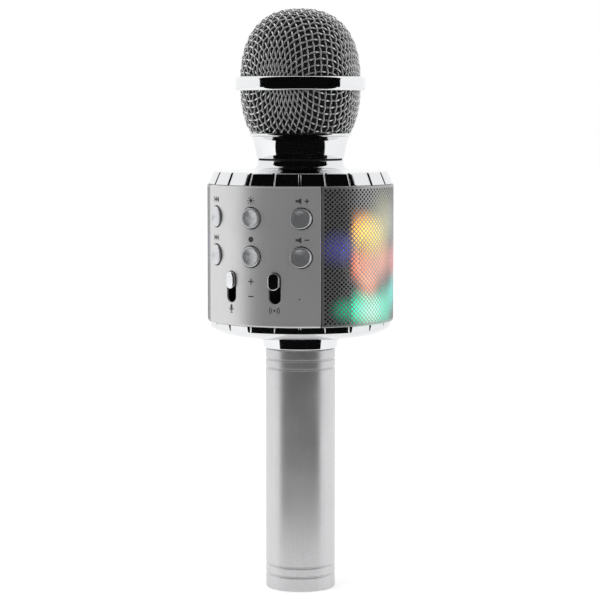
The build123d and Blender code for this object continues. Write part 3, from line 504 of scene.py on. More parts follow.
@dataclass(frozen=True)
class SatinMetal(Finish):
    """Fine blasted or lacquered metal: sparkle in its grain and soft handling marks."""

    low: float = 0.30
    high: float = 0.42
    metal: float = 1.0
    grain: float = 5200.0
    depth: float = 0.006
    sparkle: float = 0.25
    brushed: float = 0.12

    def dress(self, nodes: Nodes, shader: bpy.types.Node) -> None:
        """Grain speckles the colour and the relief; broad smears change the roughness."""
        grain = apply_effect(nodes, Effect.GRAIN, self.grain, 0.0, 1.0)
        smears = apply_effect(nodes, Effect.HANDLING, 70.0, self.low, self.high)
        brush = apply_effect(nodes, Effect.BRUSH, 1500.0, 0.0, 1.0)
        specks = nodes.math("MULTIPLY", grain.outputs["Value"], 1 - self.brushed)
        share = nodes.math("ADD", specks, nodes.math("MULTIPLY", brush.outputs["Value"], self.brushed))
        tint = nodes.mix(share, self.shade(1 - self.sparkle), self.shade(1 + self.sparkle))
        normal = self.bump(nodes, grain.outputs["Height"], self.depth)
        self.feed(nodes, shader, base_color=tint, roughness=smears.outputs["Value"], metallic=self.metal, normal=normal)


@dataclass(frozen=True)
class SpunMetal(Finish):
    """Plated button face with fine turning rings about its own middle, from the piece's UV map."""

    rings: float = 26.0
    relief: float = 0.009

    def dress(self, nodes: Nodes, shader: bpy.types.Node) -> None:
        """UV holds the offset from the middle in diameters, plus a half; rings follow its length."""
        place = nodes.add("ShaderNodeUVMap").outputs[0]
        reach = nodes.vector("LENGTH", nodes.vector("SUBTRACT", place, (0.5, 0.5, 0.0)))
        wave = nodes.math("SINE", nodes.math("MULTIPLY", reach, self.rings * 4 * math.pi))
        smears = apply_effect(nodes, Effect.HANDLING, 500.0, 0.24, 0.36)
        normal = self.bump(nodes, wave, self.relief)
        tint = nodes.mix(nodes.spread(wave, -1.0, 1.0, 0.0, 1.0), self.shade(0.86), self.colour)
        self.feed(nodes, shader, base_color=tint, roughness=smears.outputs["Value"], metallic=0.84, normal=normal)


@dataclass(frozen=True)
class MouldedPlastic(Finish):
    """Moulded plastic or rubber with a fine pebbled skin."""

    low: float = 0.45
    high: float = 0.6
    grain: float = 2400.0
    depth: float = 0.015

    def dress(self, nodes: Nodes, shader: bpy.types.Node) -> None:
        """Grain varies the colour a little and pebbles the surface."""
        grain = apply_effect(nodes, Effect.GRAIN, self.grain, 0.0, 1.0)
        rough = apply_effect(nodes, Effect.HANDLING, 120.0, self.low, self.high)
        tint = nodes.mix(grain.outputs["Value"], self.shade(0.8), self.shade(1.15))
        normal = self.bump(nodes, grain.outputs["Height"], self.depth)
        self.feed(nodes, shader, base_color=tint, roughness=rough.outputs["Value"], normal=normal)


@dataclass(frozen=True)
class OpenFoam(Finish):
    """Open-cell foam: its pores painted darker than its struts, as painted shade in the foam's hollows."""

    def dress(self, nodes: Nodes, shader: bpy.types.Node) -> None:
        """Voronoi cells give the painted shade in the pores, and the relief."""
        cells = nodes.add("ShaderNodeTexVoronoi", {"Vector": nodes.place(), "Scale": 1700.0}).outputs["Distance"]
        # Darkest where the cell distance is small, which is where the bump sinks: painted shade in the pores.
        tint = nodes.mix(nodes.spread(cells, 0.1, 0.6, 0.0, 1.0), self.shade(0.25), self.colour)
        normal = self.bump(nodes, cells, 0.25)
        self.feed(nodes, shader, base_color=tint, roughness=0.95, normal=normal)


@dataclass(frozen=True)
class CircuitBoard(Finish):
    """Green solder mask over copper runs."""

    def dress(self, nodes: Nodes, shader: bpy.types.Node) -> None:
        """A brick pattern stands for the runs and pads."""
        colours = {"Color1": self.colour, "Color2": self.shade(0.8), "Mortar": self.shade(1.9)}
        sizes = {"Scale": 220.0, "Mortar Size": 0.08}
        runs = nodes.add("ShaderNodeTexBrick", {"Vector": nodes.place(), **sizes, **colours})
        rough = apply_effect(nodes, Effect.HANDLING, 300.0, 0.25, 0.4)
        normal = self.bump(nodes, runs.outputs["Fac"], 0.03)
        self.feed(nodes, shader, base_color=runs.outputs["Color"], roughness=rough.outputs["Value"], normal=normal)


@dataclass(frozen=True)
class Glow:
    """A soft round patch of light on the drum's side, at (y, z) in millimetres."""

    across: float
    height: float
    radius: float
    colour: Colour
    spill: bool = False


LIGHTS = (
    Glow(-13.0, 154.0, 9.5, (0.66, 0.20, 0.02)),
    Glow(-8.5, 150.0, 12.5, (0.70, 0.50, 0.05)),
    Glow(-1.0, 149.0, 12.5, (0.40, 0.34, 0.12)),
    Glow(-13.0, 139.0, 9.5, (0.80, 0.14, 0.05)),
    Glow(-6.0, 137.0, 12.0, (0.62, 0.30, 0.22)),
    Glow(2.5, 140.0, 11.0, (0.66, 0.22, 0.14)),
    Glow(-8.5, 130.5, 8.0, (0.60, 0.18, 0.08)),
    Glow(-14.5, 121.0, 9.5, (0.00, 0.80, 0.40)),
    Glow(-7.0, 119.5, 10.5, (0.42, 0.90, 0.62)),
    Glow(3.0, 120.5, 12.5, (0.05, 0.80, 0.52)),
    Glow(14.5, 126.0, 11.5, (0.03, 0.95, 0.82)),
    Glow(15.0, 139.0, 11.0, (1.00, 0.24, 0.24)),
    Glow(2.0, 158.0, 15.0, (0.28, 0.28, 0.15)),
    Glow(13.0, 154.0, 15.0, (0.22, 0.24, 0.21)),
    Glow(-19.0, 120.5, 7.0, (0.00, 0.34, 0.17), True),
    Glow(-21.5, 145.5, 9.5, (0.03, 0.03, 0.20), True),
)


FRAME_EDGE = (-17.6, -16.0)  # Y where the speaker's frame hides the lamps, and where they are full


def light_group() -> Any:
    """The node group of the lamps' pattern on the drum's sides, the same left and right.

    Each lamp's colour falls off smoothly with its distance in y and z. The lamps shine only
    behind the speaker's frame, whose front edge is upright; the spilt light passes it.

    Returns:
        The node group, built the first time, with one colour output.
    """
    found = bpy.data.node_groups.get("side_lights")
    if found:
        return found
    group = bpy.data.node_groups.new("side_lights", "ShaderNodeTree")
    group.interface.new_socket("Colour", in_out="OUTPUT", socket_type="NodeSocketColor")
    nodes = Nodes(group)
    place = nodes.place()
    flat = nodes.vector("MULTIPLY", place, (0.0, 1.0, 1.0))
    totals: dict[bool, Any] = {}
    for glow in LIGHTS:
        gap = nodes.vector("DISTANCE", flat, (0.0, glow.across * MM, glow.height * MM))
        lit = nodes.vector("SCALE", glow.colour, nodes.spread(gap, 0.0, glow.radius * MM, 1.0, 0.0))
        before = totals.get(glow.spill)
        totals[glow.spill] = lit if before is None else nodes.vector("ADD", before, lit)
    across = nodes.add("ShaderNodeSeparateXYZ", {0: place}).outputs["Y"]
    hidden, full = FRAME_EDGE
    shown = nodes.spread(across, hidden * MM, full * MM, 0.0, 1.0)
    total = nodes.vector("ADD", nodes.vector("SCALE", totals[False], shown), totals[True])
    end = nodes.add("NodeGroupOutput")
    group.links.new(total, end.inputs["Colour"])
    return group


@dataclass(frozen=True)
class LitPlastic(Finish):
    """Plastic lit by the coloured lamps of the drum's sides."""

    strength: float = 1.0
    rough: float = 0.5

    def dress(self, nodes: Nodes, shader: bpy.types.Node) -> None:
        """The lamps' pattern shines over a finely grained body."""
        light = nodes.add("ShaderNodeGroup", node_tree=light_group()).outputs["Colour"]
        grain = apply_effect(nodes, Effect.GRAIN, 1800.0, 0.0, 1.0)
        tint = nodes.mix(grain.outputs["Value"], self.shade(0.8), self.colour)
        normal = self.bump(nodes, grain.outputs["Height"], 0.01)
        self.feed(nodes, shader, base_color=tint, roughness=self.rough, emission_color=light, normal=normal)
        self.feed(nodes, shader, emission_strength=self.strength)


@dataclass(frozen=True)
class PunchedSteel(SatinMetal):
    """Punched sheet whose hole walls catch the light from behind, and its face a little of it."""

    walls: float = 1.0
    face: float = 0.2
    radii: tuple[float, float] = (38.88, 38.97)

    def dress(self, nodes: Nodes, shader: bpy.types.Node) -> None:
        """Satin metal, with the lamps' pattern stronger where the surface lies below the face."""
        super().dress(nodes, shader)
        reach = nodes.vector("LENGTH", nodes.vector("MULTIPLY", nodes.place(), (1.0, 1.0, 0.0)))
        below, above = self.radii
        share = nodes.spread(reach, below * MM, above * MM, self.walls, self.face)
        lit = nodes.vector("SCALE", nodes.add("ShaderNodeGroup", node_tree=light_group()).outputs["Colour"], share)
        self.feed(nodes, shader, emission_color=lit, emission_strength=1.0)


CHROME = MirrorPlate("bright_chrome", (0.85, 0.86, 0.87))
CAP_CHROME = MirrorPlate("cap_chrome", (0.81, 0.82, 0.83), low=0.04, high=0.11, ripple=0.006)
WIRE = SatinMetal(
    "plated_wire", (0.80, 0.80, 0.81), low=0.20, high=0.32, metal=0.78, grain=3000.0, depth=0.002, sparkle=0.05
)
HANDLE_SILVER = SatinMetal("blasted_silver", (0.70, 0.70, 0.71), low=0.30, high=0.40, metal=0.8)
PANEL_SILVER = SatinMetal(
    "lacquered_silver", (0.72, 0.72, 0.722), low=0.34, high=0.42, metal=0.68, grain=7000.0, depth=0.003, sparkle=0.08
)
SHEET_STEEL = PunchedSteel(
    "punched_sheet", (0.40, 0.40, 0.404), low=0.30, high=0.42, metal=0.8, grain=4000.0, depth=0.004, sparkle=0.2
)
BUTTON_CHROME = SpunMetal("spun_button_plate", (0.80, 0.81, 0.83))
KNOB_CHROME = MirrorPlate("knob_plate", (0.84, 0.85, 0.87), low=0.05, high=0.12)
INK = MouldedPlastic("printed_ink", (0.045, 0.045, 0.05), low=0.5, high=0.65, depth=0.004)
BLACK_PLASTIC = MouldedPlastic("black_moulding", (0.022, 0.022, 0.024))
BLACK_RUBBER = MouldedPlastic("black_rubber", (0.014, 0.014, 0.014), low=0.6, high=0.8, depth=0.02)
WHITE_CHIP = MouldedPlastic("white_moulding", (0.75, 0.74, 0.68), low=0.35, high=0.5)
CELL_WRAP = MouldedPlastic("blue_wrap", (0.05, 0.16, 0.45), low=0.25, high=0.35)
PAPER = MouldedPlastic("pressed_paper", (0.04, 0.04, 0.045), low=0.75, high=0.9, grain=1500.0, depth=0.05)
STEEL = SatinMetal("zinc_steel", (0.55, 0.55, 0.56), low=0.28, high=0.42)
SOCKET_STEEL = SatinMetal("nickel_shell", (0.66, 0.66, 0.67), low=0.18, high=0.3)
FOAM = OpenFoam("windscreen_foam", (0.02, 0.02, 0.021))
BOARD = CircuitBoard("green_board", (0.02, 0.11, 0.045))
MILKY = LitPlastic("lit_milky_plastic", (0.60, 0.61, 0.61), strength=2.2)
CORE_BLACK = LitPlastic("black_drum", (0.02, 0.02, 0.022), strength=1.6)


# ------------------------------------------------------------------ pieces


@dataclass(frozen=True)
class Fixing:
    """Where a visual piece belongs: its body and the CAD nodes it stands for. Its finish slot is not used."""

    slot: str
    nodes: tuple[str, ...]
    body: str = "shell"

    def fit(self, piece: bpy.types.Object) -> bpy.types.Object:
        """Rides the piece on its body and hides what it stands for."""
        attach(piece, self.body)
        if self.nodes:
            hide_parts(*self.nodes)
        LOG.info("%s: %d faces, on %s", piece.name, len(piece.data.polygons), self.body)
        return piece


def turn_ring(
    name: str, fixing: Fixing, finish: Finish, corners: Sequence[Corner], columns: int = 160, sharp: float = 40.0
) -> None:
    """Turns a closed profile about Z into a piece of its own.

    Args:
        name: Name of the piece.
        fixing: Where it belongs.
        finish: What it is made of.
        corners: (radius from Z, height, corner radius) of each corner.
        columns: Points round the ring.
        sharp: Edges turned by more degrees than this stay crisp.
    """
    skin = Skin()
    skin.lathe(rounded(corners), full_turn(columns))
    fixing.fit(skin.piece(name, finish, sharp))


@dataclass
class Handle:
    """Tubular handle with two pairs of round grooves, and the chromed collar above it."""

    radius: float = 14.6
    bore: float = 13.2
    length: float = 101.6
    grooves: tuple[float, ...] = (6.0, 10.0, 93.6, 97.3)
    groove: float = 0.45
    lip: float = 0.5
    floor: float = 0.16
    collar: tuple[float, float] = (101.9, 107.7)
    collar_radii: tuple[float, float] = (15.4, 16.3)
    collar_bore: float = 13.3

    def build(self) -> None:
        """Turns the tube and the collar about Z from their rounded profiles."""
        corners: list[Corner] = [(self.bore, 0.0, 0.1), (self.radius, 0.0, 1.0)]
        reach = self.radius - self.groove
        for height in self.grooves:
            corners += [(self.radius, height - self.lip, 0.16), (reach, height - self.floor, 0.12)]
            corners += [(reach, height + self.floor, 0.12), (self.radius, height + self.lip, 0.16)]
        corners += [(self.radius, self.length, 0.35), (self.bore, self.length, 0.1)]
        turn_ring("handle_tube_skin", Fixing("satin_silver", ("handle_tube",)), HANDLE_SILVER, corners)
        low, high = self.collar
        foot, top = self.collar_radii
        bore = self.collar_bore
        corners = [(bore, low, 0.1), (foot, low, 0.5), (top, high, 0.08), (bore, high, 0.1)]
        turn_ring("handle_collar_ring", Fixing("chrome", ("handle_collar",)), CHROME, corners)


@dataclass
class Notches:
    """Soft-edged notches spaced evenly round a cap."""

    count: int = 22
    first: float = -2.2
    half_width: float = 0.95
    depth: float = 0.5
    reach: float = 38.0

    def angles(self) -> Array:
        """Columns close together at each notch and even between them, in radians."""
        pitch = 2 * math.pi / self.count
        near = np.linspace(-1.1, 1.1, 17) * self.half_width / self.reach
        between = np.linspace(near[-1], pitch + near[0], 8)[1:-1]
        middles = math.radians(self.first) + pitch * np.arange(self.count)
        return np.sort(np.add.outer(middles, np.concatenate([near, between])).ravel())

    def cut(self, reach: Array, wall: Array, angle: Array) -> Array:
        """The radius left by notches whose floor follows a wall.

        A notch goes depth * cos^2(pi d / 2w) deep at a distance d from its middle, where w is its
        half width, so its lips and its floor are both rounded.

        Args:
            reach: Radius of the plain cap at each point.
            wall: Radius of the side that the notches are cut in, carried on past its ends.
            angle: Angle of each point in radians.

        Returns:
            The smaller of the plain radius and the notches' floor.
        """
        pitch = 2 * math.pi / self.count
        off = (angle - math.radians(self.first) + pitch / 2) % pitch - pitch / 2
        away = np.clip(np.abs(off) * self.reach / self.half_width, 0, 1)
        deep = self.depth * np.cos(math.pi / 2 * away) ** 2
        return np.where(away < 1, np.minimum(reach, wall - deep), reach)


@dataclass
class Caps:
    """The two notched chrome caps that hold the drum's skins."""

    notches: Notches = field(default_factory=Notches)
    foot: float = 107.8
    skin_top: float = 170.8
    cone: float = 38.6
    side: float = 38.0
    side_base: float = 111.05
    side_inside: float = 36.6
    rim: float = 176.0
    hub: float = 180.5

    def build_top(self) -> None:
        """Turns the top cap: notched cone, low dome, and a flared hub."""
        shoulder = [(22.6 - 4.6 * math.sin(a), 179.2 - 2.7 * math.cos(a), 0.0) for a in np.linspace(0.12, 1.5, 9)]
        corners = [(37.0, self.skin_top, 0.0), (self.cone, self.skin_top, 0.12)]
        corners += [(38.2, 171.7, 0.0), (37.4, 173.5, 0.0), (36.6, 175.3, 0.0)]
        corners += [(36.45, 175.62, 0.0), (36.2, 175.85, 0.0), (35.7, self.rim, 0.0)]
        corners += [(r, self.rim + 0.5 * (35.7 - r) / 13.1, 0.0) for r in (34.0, 31.0, 27.0, 24.0)]
        corners += [*shoulder, (18.0, self.hub, 0.2), (11.7, self.hub, 0.2), (11.7, 178.8, 0.0)]
        corners += [(16.3, 178.8, 0.0), (21.0, 175.0, 0.0), (34.8, 174.2, 0.0)]
        cap = Skin()

        def notched(reach: Array, rise: Array, angle: Array) -> Array:
            """The cone's side goes in by 2.0 over a height of 4.5."""
            wall = self.cone - (rise - self.skin_top) * 2.0 / 4.5
            return self.notches.cut(reach, wall, angle)

        cap.lathe(rounded(corners), self.notches.angles(), notched)
        Fixing("chrome", ("top_cap",)).fit(cap.piece("top_cap_chrome", CAP_CHROME, 28.0))

    def build_bottom(self) -> None:
        """Turns the bottom cap's side and closes its flat foot with four screw recesses."""
        bowl = [(28.0 + 9.6 * s, 107.8 + 3.2 * (0.12 * s + 0.88 * s**2.6), 0.0) for s in np.linspace(0.0, 1.0, 12)]
        corners = [(20.0, 109.4, 0.0), (20.0, self.foot, 0.0), (26.5, self.foot, 0.0), *bowl]
        corners += [(37.65, 111.15, 0.0), (37.8, 112.0, 0.0), (self.side, 113.2, 0.0), (self.side, 113.5, 0.08)]
        corners += [(36.3, 113.5, 0.1), (36.1, 111.6, 0.0), (33.0, 109.8, 0.0), (28.0, 109.4, 0.0)]
        cap = Skin()

        def notched(reach: Array, rise: Array, angle: Array) -> Array:
            """Only the upright side is cut, not the bowl below it or the bore behind it."""
            wall = np.where(rise > self.side_base, self.side, np.inf)
            return np.where(reach > self.side_inside, self.notches.cut(reach, wall, angle), reach)

        cap.lathe(rounded(corners), self.notches.angles(), notched)
        plate = Sheet(inner=13.2, outer=20.0 + 9.5, low=self.foot, high=109.5)
        plate.add_to(cap)
        Fixing("chrome", ("bottom_cap",)).fit(cap.piece("bottom_cap_chrome", CAP_CHROME, 28.0))


@dataclass
class Sheet:
    """A flat ring with four round holes, standing for the screwed floor of the bottom cap."""

    inner: float
    outer: float
    low: float
    high: float
    holes: int = 4
    circle: float = 23.18
    hole: float = 2.5

    def add_to(self, skin: Skin) -> None:
        """Adds the ring's two faces and the walls of all its loops."""
        turn = full_turn(96)
        loops = [np.column_stack([np.sin(turn), -np.cos(turn)]) * radius for radius in (self.outer, self.inner)]
        for place in range(self.holes):
            middle = towards(45 + 90 * place)[:2] * self.circle
            loops.append(middle + self.hole * on_circle(full_turn(28)))
        flat, faces, marks = fill_loops(loops, np.empty((0, 2)))
        bottom = skin.add(np.column_stack([flat, np.full(len(flat), self.low - 0.005)]), faces[:, ::-1])
        top = skin.add(np.column_stack([flat, np.full(len(flat), self.high)]), faces)
        for number, loop in enumerate(marks):
            first, second = (top + loop, bottom + loop) if number == 0 else (bottom + loop, top + loop)
            skin.bridge(first, second)


def inside(points: Array, loop: Array) -> Array:
    """Which points are inside a closed loop, by counting edges crossed to the right."""
    ahead = np.roll(loop, -1, axis=0)
    x, y = points[:, 0][:, None], points[:, 1][:, None]
    straddles = (loop[:, 1] > y) != (ahead[:, 1] > y)
    rise = np.where(ahead[:, 1] == loop[:, 1], 1e-12, ahead[:, 1] - loop[:, 1])
    crossing = (ahead[:, 0] - loop[:, 0]) * (y - loop[:, 1]) / rise + loop[:, 0]
    return (straddles & (x < crossing)).sum(axis=1) % 2 == 1


def fill_loops(loops: Sequence[Array], extra: Array) -> tuple[Array, Array, list[Array]]:
    """Fills the first loop with triangles and leaves the others as holes.

    Args:
        loops: Closed loops of (x, y) points. The first is the outside.
        extra: Further points to use inside.

    Returns:
        The points, the triangles (anticlockwise), and each loop's point numbers.
    """
    points = np.vstack([*loops, extra])
    edges: list[tuple[int, int]] = []
    marks: list[Array] = []
    start = 0
    for loop in loops:
        numbers = np.arange(start, start + len(loop))
        edges += list(zip(numbers.tolist(), np.roll(numbers, -1).tolist()))
        marks.append(numbers)
        start += len(loop)
    found = delaunay_2d_cdt([Vector(point) for point in points], edges, [], 0, 1e-7)
    flat = np.array([tuple(point) for point in found[0]])
    faces = np.array([tuple(face) for face in found[2]])
    renumber = np.zeros(len(points), int)
    for new, olds in enumerate(found[3]):
        renumber[list(olds)] = new
    a, b, c = flat[faces[:, 0]], flat[faces[:, 1]], flat[faces[:, 2]]
    turn = (b[:, 0] - a[:, 0]) * (c[:, 1] - a[:, 1]) - (b[:, 1] - a[:, 1]) * (c[:, 0] - a[:, 0])
    faces = np.where((turn < 0)[:, None], faces[:, ::-1], faces)
    middle = (a + b + c) / 3
    keep = (np.abs(turn) > 1e-9) & inside(middle, loops[0])
    for loop in loops[1:]:
        keep &= ~inside(middle, loop)
    return flat, faces[keep], [renumber[mark] for mark in marks]


@dataclass(frozen=True)
class Opening:
    """A hole seen along Y, at (x, z): a round or oval one, or a rectangle with round corners."""

    x: float
    z: float
    half_x: float
    half_z: float
    corner: float = 0.0
    count: int = 48

    def outline(self, grow: float = 0.0) -> Array:
        """The hole's loop in (x, z), grown outwards by a distance.

        An oval is (a cos t, b sin t). A rectangle is four quarter circles about its corners'
        middles, so a slot is a rectangle whose corner radius is half its width.
        """
        if self.corner <= 0:
            turn = full_turn(self.count)
            halves = [self.half_x + grow * self.half_x / self.half_z, self.half_z + grow]
            return [self.x, self.z] + on_circle(turn) * halves
        parts = []
        for quarter, (sx, sz) in enumerate(((1, 1), (-1, 1), (-1, -1), (1, -1))):
            turn = np.linspace(quarter, quarter + 1, self.count // 4 + 1) * math.pi / 2
            middle = np.array([self.x + sx * (self.half_x - self.corner), self.z + sz * (self.half_z - self.corner)])
            parts.append(middle + (self.corner + grow) * on_circle(turn))
        loop = np.vstack(parts)
        return loop[np.linalg.norm(loop - np.roll(loop, 1, axis=0), axis=1) > 1e-6]


@dataclass
class Drum:
    """Sizes that every skin of the drum shares."""

    radius: float = 39.0
    base: float = 113.6
    top: float = 170.7

    @property
    def middle(self) -> float:
        """Height of the drum's middle."""
        return (self.base + self.top) / 2

    @staticmethod
    def border(low: Array, high: Array, across: int, up: int) -> tuple[Array, Array, Array]:
        """Goes once round the border of a grid that fills a rectangle of (u, z).

        Args:
            low: Lowest (u, z).
            high: Highest (u, z).
            across: Steps along u.
            up: Steps along z.

        Returns:
            The border's points, their outward signs (-1, 0 or 1 for u and z), and their numbers
            in the grid, whose rows run along u.
        """
        i = np.concatenate([np.arange(across), np.full(up, across), np.arange(across, 0, -1), np.zeros(up, int)])
        j = np.concatenate([np.zeros(across, int), np.arange(up), np.full(across, up), np.arange(up, 0, -1)])
        steps = np.column_stack([i, j])
        loop = low + steps * (high - low) / [across, up]
        signs = (steps == [across, up]).astype(int) - (steps == 0)
        return loop, signs, j * (across + 1) + i

    def close_edges(
        self, skin: Skin, loop: Array, signs: Array, rounds: tuple[float, float], wall: float,
        ends: tuple[Array, Array], turn: float, rims: tuple[float, float] = (0.0, 0.0),
    ) -> None:
        """Rolls a sheet's border over from its outside to its inside.

        A border point moves out by q sin f while its radius drops by q (1 - cos f), for f from 0
        to a quarter turn, where q is the round of its side.

        Args:
            skin: Where the rings go.
            loop: Border points as (u, z).
            signs: Which way each one is outwards.
            rounds: Radius of the rounding on the upright sides and on the top and bottom.
            wall: Thickness of the sheet.
            ends: The border's point numbers on the outer and the inner face.
            turn: Azimuth that u 0 stands at, in degrees.
            rims: Flat margin before the rounding on the sides, and on the top and bottom.
        """
        last, inner = ends
        rounds, rims = np.array(rounds), np.array(rims)
        if rims.max() > 0:
            last = self._row(skin, last, loop + signs * rims, 0.0, turn)
        for f in np.radians([18, 36, 54, 72, 90]):
            drop = np.where(signs[:, 1] != 0, rounds[1], rounds[0]) * (1 - math.cos(f))
            grown = loop + signs * (rims + rounds * math.sin(f))
            last = self._row(skin, last, grown, drop, turn)
        last = self._row(skin, last, grown, wall, turn)
        skin.bridge(last, inner)

    def _row(self, skin: Skin, last: Array, loop: Array, depth: float | Array, turn: float) -> Array:
        """Adds a wrapped loop, joins the last one to it, and gives its point numbers."""
        ring = skin.add(self.wrap(loop[:, 0], loop[:, 1], depth, turn)) + np.arange(len(loop))
        skin.bridge(last, ring)
        return ring

    def wrap(self, u: Array, z: Array, depth: float | Array, turn: float) -> Array:
        """Points u round the drum and z up, at a depth below its outside."""
        angle = u / self.radius + math.radians(turn)
        reach = self.radius - depth
        return np.column_stack([reach * np.sin(angle), -reach * np.cos(angle), z])


@dataclass
class Panel:
    """A curved plate of the drum with holes cut straight back through it."""

    name: str
    node: str
    drum: Drum
    azimuth: float
    half_span: float
    straight: float
    openings: tuple[Opening, ...]
    wall: float = 1.2
    edge: float = 0.25
    rounds: tuple[float, float] = (0.3, 0.84)
    clearance: float = 0.45
    step: float = 1.3
    rows: int = 18

    def unroll(self, opening: Opening, grow: float) -> Array:
        """An opening's loop on the unrolled plate, grown by a distance."""
        plan, radius = opening.outline(grow), self.drum.radius
        return np.column_stack([radius * np.arcsin(plan[:, 0] / radius), plan[:, 1]])

    def place(self, plan: Array, depth: float) -> Array:
        """Carries (x, z) points along Y to a depth below the drum's outside, then turns them."""
        reach = self.drum.radius - depth
        y = -np.sqrt(reach**2 - plan[:, 0] ** 2)
        face = 1.0 if self.azimuth < 90 else -1.0
        return np.column_stack([plan[:, 0] * face, y * face, plan[:, 1]])

    def build(self) -> None:
        """Fills the unrolled plate between its border and holes, and wraps it twice.

        The outer face takes u = R a to the angle a. The inner face keeps each point's x, so that
        the holes run straight back, and eases to keeping its angle near the upright sides.
        """
        radius, skin = self.drum.radius, Skin()
        half = radius * math.radians(self.half_span)
        round_u, round_z = self.rounds
        low = np.array([-half + round_u, self.drum.base + round_z])
        high = np.array([half - round_u, self.drum.top - round_z])
        across = int(half * 2 / self.step)
        loop, signs, _ = self.drum.border(low, high, across, self.rows)
        rings = [self.unroll(opening, self.edge) for opening in self.openings]
        columns, levels = np.linspace(low[0], high[0], across + 1), np.linspace(low[1], high[1], self.rows + 1)
        u, z = np.meshgrid(columns[1:-1], levels[1:-1])
        grid = np.column_stack([u.ravel(), z.ravel()])
        clear = np.ones(len(grid), bool)
        for opening in self.openings:
            clear &= ~inside(grid, self.unroll(opening, self.edge + self.clearance))
        flat, faces, marks = fill_loops([loop, *rings], grid[clear])
        angle = flat[:, 0] / radius
        kept = np.arcsin(np.clip(np.sin(angle) * radius / (radius - self.wall), -1, 1))
        share = smooth_step(np.degrees(np.abs(angle)), self.straight, self.half_span)
        inner_u = ((1 - share) * kept + share * angle) * radius
        outer = skin.add(self.drum.wrap(flat[:, 0], flat[:, 1], 0.0, self.azimuth), faces)
        inner = skin.add(self.drum.wrap(inner_u, flat[:, 1], self.wall, self.azimuth), faces[:, ::-1])
        ends = (outer + marks[0], inner + marks[0])
        self.drum.close_edges(skin, loop, signs, self.rounds, self.wall, ends, self.azimuth)
        for opening, mark in zip(self.openings, marks[1:]):
            last = outer + mark
            edge = self.edge * (1 - on_circle(np.radians([22, 45, 68, 90])))[:, ::-1]
            for grow, depth in (*edge, (0.0, self.wall - self.edge)):
                plan = opening.outline(grow)
                ring = skin.add(self.place(plan, depth)) + np.arange(len(plan))
                skin.bridge(ring, last)
                last = ring
            skin.bridge(inner + mark, last)
        Fixing("panel_silver", (self.node,)).fit(skin.piece(self.name, PANEL_SILVER, 35.0))


